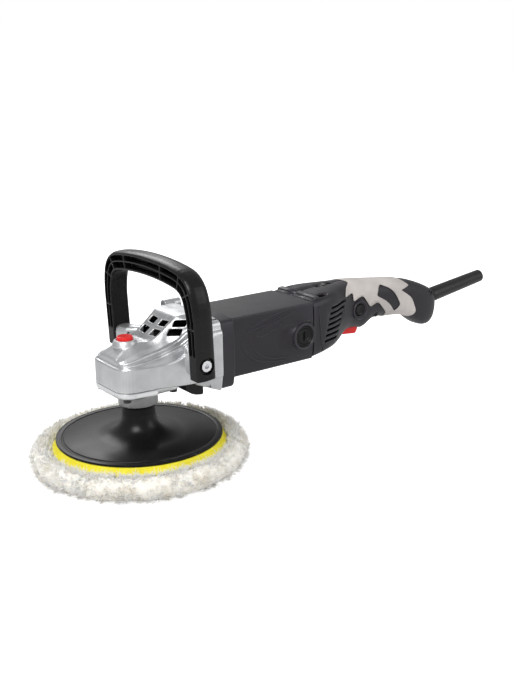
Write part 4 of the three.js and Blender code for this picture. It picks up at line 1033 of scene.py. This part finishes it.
def motor_housing():
    flange, body = flange_section(), body_section()
    # The flange blends into the body over a few millimetres: x and the flange's share.
    shares = ((FLANGE_FRONT, 1), (91.4, 1), (92.6, 0.97), (93.4, 0.86), (93.8, 0.12), (94.4, 0.03), (95, 0))
    loops = []
    for x, share in shares:
        loops.append([(x, *(Vector(f) * share + Vector(b) * (1 - share))) for f, b in zip(flange, body)])
    for x in (120, 150, 180, 200.8):
        loops.append([(x, *b) for b in body])
    loops.append([(201.6, *b) for b in body_section(-0.6)])
    shell = rings("motor_housing_shell", loops, 30)
    inner = rings("inner", [[(x, *p) for p in body_section(-2.8)] for x in (FLANGE_FRONT - 1, 203)], 30)
    merge(shell, [inner], "DIFFERENCE")
    at = (CAP_X, 0, MOTOR_Z)
    boss = [(0, 34), (15.3, 34), (15.3, 41.4), (15.0, 42.2), (14.2, 42.6), (0, 42.6)]
    merge(shell, [mirror_lathe("boss", side, boss, 72, at) for side in (-1, 1)], "UNION")
    wells = [rod("well", "y", CAP_RADIUS + 0.3, side * 30, side * 50, at, 64) for side in (-1, 1)]
    merge(shell, wells, "DIFFERENCE")
    piece = join([shell, *flank_relief(-1), *flank_relief(1)])
    return finish(piece, HOUSING, "casing", "motor_housing")


def brush_cap(side, name):
    """A screw cap with a raised ring and a slot for a wide screwdriver."""
    radius, face = CAP_RADIUS, CAP_FACE
    cap = mirror_lathe("brush_access_cap_" + name, side, [
        (0, CAP_INSIDE), (radius, CAP_INSIDE), (radius, face - 0.7), (radius - 0.6, face),
        (radius - 2.2, face), (radius - 2.6, face - 0.6), (radius - 3.2, face - 0.6),
        (radius - 3.8, face), (6.2, face), (5.8, face - 0.5), (0, face - 0.5),
    ], 72, (CAP_X, 0, MOTOR_Z))
    low = (CAP_X - 1.2, face - 2.4, MOTOR_Z - 5.2)
    high = (CAP_X + 1.2, face + 1, MOTOR_Z + 5.2)
    merge(cap, [side_block("slot", side, low, high)], "DIFFERENCE")
    return finish(cap, SATIN, "casing", "brush_cap_" + name)


# ---------------------------------- rear grip

CORD_TILT = math.radians(7.65)
CORD_START = Vector((421.5, 0, 109.9))

# Stations down the grip: x, bottom, top, half width and squareness of the section.
GRIP = [
    (202.3, 79.5, 145.0, 38.6, 9.0),
    (214.0, 80.8, 147.2, 38.4, 8.0),
    (226.0, 82.4, 149.0, 37.3, 7.0),
    (238.0, 84.2, 149.8, 34.8, 6.0),
    (252.0, 87.0, 150.8, 28.6, 4.6),
    (263.0, 93.0, 151.0, 24.4, 4.2),
    (276.0, 94.6, 150.8, 20.0, 3.6),
    (290.0, 93.6, 149.8, 18.4, 3.2),
    (299.0, 91.8, 148.8, 18.2, 3.0),
    (318.0, 99.8, 146.8, 17.8, 2.6),
    (372.0, 95.8, 139.8, 17.6, 2.6),
    (386.0, 86.0, 135.9, 18.0, 2.8),
    (399.0, 78.4, 131.0, 18.0, 3.0),
    (409.0, 76.6, 126.4, 17.0, 3.0),
    (416.5, 79.0, 122.6, 15.0, 2.8),
    (421.5, 85.0, 119.4, 12.0, 2.5),
]


def grip_station(x):
    """Bottom, top, half width and squareness at x, smooth through the driving stations."""
    xs = [row[0] for row in GRIP]
    x = min(max(x, xs[0]), xs[-1])
    i = max(k for k in range(len(xs) - 1) if xs[k] <= x)
    t = (x - xs[i]) / (xs[i + 1] - xs[i])
    before, after = GRIP[max(i - 1, 0)], GRIP[min(i + 2, len(GRIP) - 1)]
    result = []
    for column in range(1, 5):
        a, b = GRIP[i][column], GRIP[i + 1][column]
        width = xs[i + 1] - xs[i]
        slope_a = (b - before[column]) / (xs[i + 1] - before[0])
        slope_b = (after[column] - a) / (after[0] - xs[i])
        result.append((2 * t ** 3 - 3 * t * t + 1) * a + (t ** 3 - 2 * t * t + t) * slope_a * width
                      + (3 * t * t - 2 * t ** 3) * b + (t ** 3 - t * t) * slope_b * width)
    return result


def grip_loop(x, offset, around=72):
    """The grip's section at x, a superellipse grown all round by offset."""
    bottom, top, half, square = grip_station(x)
    loop = []
    for i in range(around):
        angle = (i + 0.5) / around * 2 * math.pi
        c, s = math.cos(angle), math.sin(angle)
        y = (half + offset) * math.copysign(abs(c) ** (2 / square), c)
        z = (bottom + top) / 2 + ((top - bottom) / 2 + offset) * math.copysign(abs(s) ** (2 / square), s)
        loop.append((x, y, z))
    return loop


def grip_body(name, offset, start=None, end=None, pitch=4.0):
    start = GRIP[0][0] if start is None else start
    end = GRIP[-1][0] if end is None else end
    count = max(2, round((end - start) / pitch))
    xs = [start + (end - start) * k / count for k in range(count + 1)]
    return rings(name, [grip_loop(x, offset) for x in xs], 40)


def vents(side):
    """Seven slanted cooling slots, each shorter and further forward than the one above."""
    cutters = []
    turn = Matrix.Rotation(math.radians(4), 2)
    for i in range(7):
        half, height = (32 - i * 1.7) / 2, 1.5
        outline = rounded([(-half, -height, 1.4), (half, -height, 1.4), (half, height, 1.4),
                           (-half, height, 1.4)], 3)
        centre = Vector((244.5 - i * 2.6, 133.5 - i * 6.1))
        moved = [tuple(turn @ Vector(p) + centre) for p in outline]
        cutters.append(prism("vent", "y", moved, *across(side, 20, 45)))
    return cutters


def rear_hollows(side):
    """What is cut from one clamshell: controls, slots, screw recesses and the cord's exit."""
    tools = [
        block("dial_slot", (DIAL_LOW[0] - 1, -4, 124), (DIAL_HIGH[0] + 1, 4, 160)),
        block("trigger_slot", (260, -8.8, 70), (298, 8.8, 98)),
        rod("cord_exit", "x", 6.4, 415, 440, (0, 0, CORD_START.z), 40),
        rod("lock_on", "y", 7.5, -32, -10, (LOCK_ON_X, 0, LOCK_ON_Z), 40),
    ]
    for x, z in ((318, 106), (411.5, 118.5)):
        tools.append(rod("recess", "y", 3.4, -40, -12, (x, 0, z), 32))
    screw = rod("access", "x", 4.0, 0, 40, (0, 0, 0), 32)
    screw.data.transform(Matrix.Rotation(math.radians(-36), 4, "Y"))
    screw.data.transform(Matrix.Translation(Vector((206, side * 28.5, 136)) * MM))
    return [*tools, screw, *vents(side)]


def inner_rib(side):
    """A rib that stops light, and the view, from passing through the cooling slots."""
    rib = side_block("rib", side, (259.4, SPLIT, 60), (260.8, 40, 160))
    merge(rib, [block("dial_room", (255, -4.6, 124), (265, 4.6, 170))], "DIFFERENCE")
    return merge(rib, [grip_body("room", -1.2)], "INTERSECT")


def panel_edge(side):
    """The low line that borders the flank's panel."""
    points = [(209, 38.4, 138), (211, 38.6, 118), (213, 38.4, 98), (217, 37.6, 86)]
    return tube("panel_edge", curve_through([(x, side * y, z) for x, y, z in points], 8), 0.7, 8, 0.4)


def lock_on_collar():
    return lathe("collar", "y", [
        (7.6, -16), (11.5, -16), (11.3, -20.4), (10.6, -21.2), (9.6, -21.2), (8.8, -20.2), (7.6, -19.6),
    ], 56, (LOCK_ON_X, 0, LOCK_ON_Z))


def rear_shell(side, name):
    """One clamshell, with the raised bar across its top where it meets the motor section."""
    body = grip_body("rear_shell_" + name, 0)
    band = [(206.8, -1), (207.2, 1.2), (208.4, 2.0), (212.4, 1.8), (214.2, 0.9), (216.4, -1)]
    bar = rings("bar", [grip_loop(x, offset) for x, offset in band])
    merge(bar, [block("above", (205, -33, 134), (230, 33, 160))], "INTERSECT")
    merge(body, [bar], "UNION")
    merge(body, [grip_body("inner", -2.6, GRIP[0][0] - 1, 419)], "DIFFERENCE")
    merge(body, [side_block("half", side, (190, SPLIT, 60), (450, 70, 180))], "INTERSECT")
    merge(body, rear_hollows(side), "DIFFERENCE")
    extras = [inner_rib(side), panel_edge(side)]
    if side < 0:
        extras.append(lock_on_collar())
    piece = join([body, *extras])
    return finish(piece, HOUSING, "casing", "handle_shell_" + name)


def grip_cover(side, name):
    """Soft overmould: a skin over the shell, cut to a scalloped outline with one window."""
    edge = rounded([
        (284, 175), (279, 151.5, 4), (263, 147, 5), (259, 138.5, 1.5), (275, 140.5, 3.5), (277, 129.5, 2),
        (292.5, 134.5, 6), (304.5, 118.5, 2), (317, 123, 6), (334, 105.5, 3), (337, 85), (371, 85),
        (383, 99, 5), (373, 119.5, 6), (356, 130.5, 2), (371, 134, 3), (355, 147, 6), (347, 175),
    ], 6)
    window = rounded([
        (315, 130, 3), (321, 143, 6), (342, 134, 10), (356, 112, 5), (347, 105, 3), (333, 120.5, 10),
    ], 7)
    skin = grip_body("grip_cover_" + name + "_skin", 1.3, 250, 392, 2.5)
    merge(skin, [grip_body("inner", 0.25, 249, 393, 2.5)], "DIFFERENCE")
    merge(skin, [prism("edge", "y", [tuple(p) for p in edge], *across(side, SPLIT, 60))], "INTERSECT")
    merge(skin, [prism("window", "y", [tuple(p) for p in window], -60, 60)], "DIFFERENCE")
    return finish(skin, GREY_GRIP, "casing", "grip_cover_" + name)


def trigger():
    outline = rounded([
        (261.5, 99.5), (261.5, 93, 2), (268, 88.3, 4), (281, 87, 8), (292, 85.8, 3),
        (295.5, 92, 3), (295.5, 101, 1.5), (290, 101), (286, 97.5),
    ], 6)
    piece = prism("trigger_paddle", "y", outline, -8, 8)
    bevel(piece, 1.2, 3)
    return finish(piece, RED, "trigger", "trigger")


def lock_on_button():
    face, inside = LOCK_ON_LOW[1], LOCK_ON_HIGH[1]
    profile = [(0, inside), (6.9, inside), (6.9, face + 0.9), (6.3, face + 0.2), (5.2, face),
               (4.2, face + 0.5), (0, face + 0.9)]
    piece = lathe("lock_on_push_button", "y", profile, 56, (LOCK_ON_X, 0, LOCK_ON_Z))
    return finish(piece, SATIN, "lock_on_button", "lock_on_button")


def speed_dial():
    """A thumb wheel with a rippled rim."""
    points, ripples = 120, 24
    outline = []
    for k in range(points):
        turn = 2 * math.pi * k / points
        radius = 11.6 + 0.4 * math.cos(turn * ripples)
        outline.append((DIAL_X + radius * math.cos(turn), DIAL_Z + radius * math.sin(turn)))
    piece = prism("speed_control_dial", "y", outline, -3.2, 3.2)
    bevel(piece, 0.4)
    return finish(piece, SATIN, "speed_dial", "speed_dial")


# ---------------------------------- cord

def along_cord(obj):
    obj.data.transform(Matrix.Translation(CORD_START * MM) @ Matrix.Rotation(-CORD_TILT, 4, "Y"))
    return obj


def cord_guard():
    end = 95.5
    profile = [(4.3, -9.5), (7.6, -9.5), (7.6, -6.3), (5.8, -6), (5.8, 2), (8.7, 2.2), (9.1, 3.0)]
    for k in range(1, 12):
        t = k / 12
        profile.append((9.1 - 1.1 * t, 3.0 + (end - 4) * t))
    profile += [(7.9, end - 0.6), (7.3, end), (4.3, end)]
    return finish(along_cord(lathe("cord_strain_guard", "x", profile, 56)), RUBBER, "casing",
                  "cord_guard")


def power_cord():
    profile = [(0, -30), (4, -30), (4, 95.1), (3.7, 95.4), (0, 95.4)]
    return finish(along_cord(lathe("power_cord_jacket", "x", profile, 36)), RUBBER, "casing",
                  "power_cord")


# ---------------------------------- carried-over CAD nodes

def dress_cad_nodes():
    slots = {row["node"]: row["material_slot"] for row in frame["record"]["subparts"]}
    for node, obj in NODES.items():
        obj.data.materials.clear()
        obj.data.materials.append(SLOT_LOOKS[slots[node]])
        shade(obj, 30)
        modifier = obj.modifiers.new("bevel", "BEVEL")
        modifier.width = 0.25 * MM
        modifier.segments = 2
        modifier.limit_method = "ANGLE"
        modifier.angle_limit = math.radians(40)


# ---------------------------------- stage, light and camera

def seen_by_camera(tree, seen, otherwise):
    """A strength that differs between what the camera sees and what lights the object."""
    path = tree.nodes.new("ShaderNodeLightPath")
    node = tree.nodes.new("ShaderNodeMapRange")
    node.inputs["To Min"].default_value = otherwise
    node.inputs["To Max"].default_value = seen
    tree.links.new(path.outputs["Is Camera Ray"], node.inputs["Value"])
    return node.outputs["Result"]


def stage():
    """A pale floor and background that look white but light the object only softly."""
    reach, level = 6000, -0.3
    corners = [(x * reach, y * reach, level) for x, y in ((-1, -1), (1, -1), (1, 1), (-1, 1))]
    floor = make("floor", corners, [(0, 1, 2, 3)])
    mat, tree, shader, _ = material("pale_floor", (0.8, 0.8, 0.8), 0.9)
    shader.inputs["Emission Color"].default_value = (1, 1, 1, 1)
    tree.links.new(seen_by_camera(tree, 0.8, 0.0), shader.inputs["Emission Strength"])
    floor.data.materials.append(mat)
    world = bpy.data.worlds.new("studio")
    world.use_nodes = True
    background = world.node_tree.nodes["Background"]
    background.inputs["Color"].default_value = (1, 1, 1, 1)
    world.node_tree.links.new(seen_by_camera(world.node_tree, 1.0, 0.5), background.inputs["Strength"])
    bpy.context.scene.world = world
    bpy.context.scene.view_settings.view_transform = "Standard"


def area_light(name, at, target, size, power):
    data = bpy.data.lights.new(name, "AREA")
    data.size = size
    data.energy = power
    light = bpy.data.objects.new(name, data)
    light.location = at
    light.rotation_euler = (Vector(target) - Vector(at)).to_track_quat("-Z", "Y").to_euler()
    bpy.context.scene.collection.objects.link(light)


def lights():
    middle = (0.15, 0, 0.1)
    area_light("key", (-0.9, -0.7, 1.3), middle, 0.7, 19)
    area_light("fill", (1.2, -1.3, 0.8), middle, 1.0, 6)
    area_light("back", (0.5, 1.4, 1.2), middle, 0.8, 10)


def camera():
    azimuth, elevation, roll = math.radians(36.35), math.radians(17.04), math.radians(-0.8)
    target, distance = Vector((0.1515, 0, 0.0904)), 1.05
    forward = Vector((math.sin(azimuth) * math.cos(elevation), math.cos(azimuth) * math.cos(elevation),
                      -math.sin(elevation)))
    data = bpy.data.cameras.new("camera")
    data.lens = 48.75
    data.sensor_width = 36
    obj = bpy.data.objects.new("camera", data)
    right = Vector((math.cos(azimuth), -math.sin(azimuth), 0))
    up = right.cross(forward)
    turned_right = right * math.cos(roll) + up * math.sin(roll)
    turned_up = up * math.cos(roll) - right * math.sin(roll)
    pose = Matrix((turned_right, turned_up, -forward)).transposed().to_4x4()
    pose.translation = target - forward * distance
    obj.matrix_world = pose
    bpy.context.scene.collection.objects.link(obj)
    bpy.context.scene.camera = obj


# ---------------------------------- build

dress_cad_nodes()
backing_plate()
foam_pad()
hook_face()
wool_pad()
wool_strands()
bearing_cover()
gear_housing()
air_deflector()
lock_button()
loop_handle()
motor_housing()
for build_side in (brush_cap, rear_shell, grip_cover):
    build_side(-1, "left")
    build_side(1, "right")
trigger()
lock_on_button()
speed_dial()
cord_guard()
power_cord()
stage()
lights()
camera()
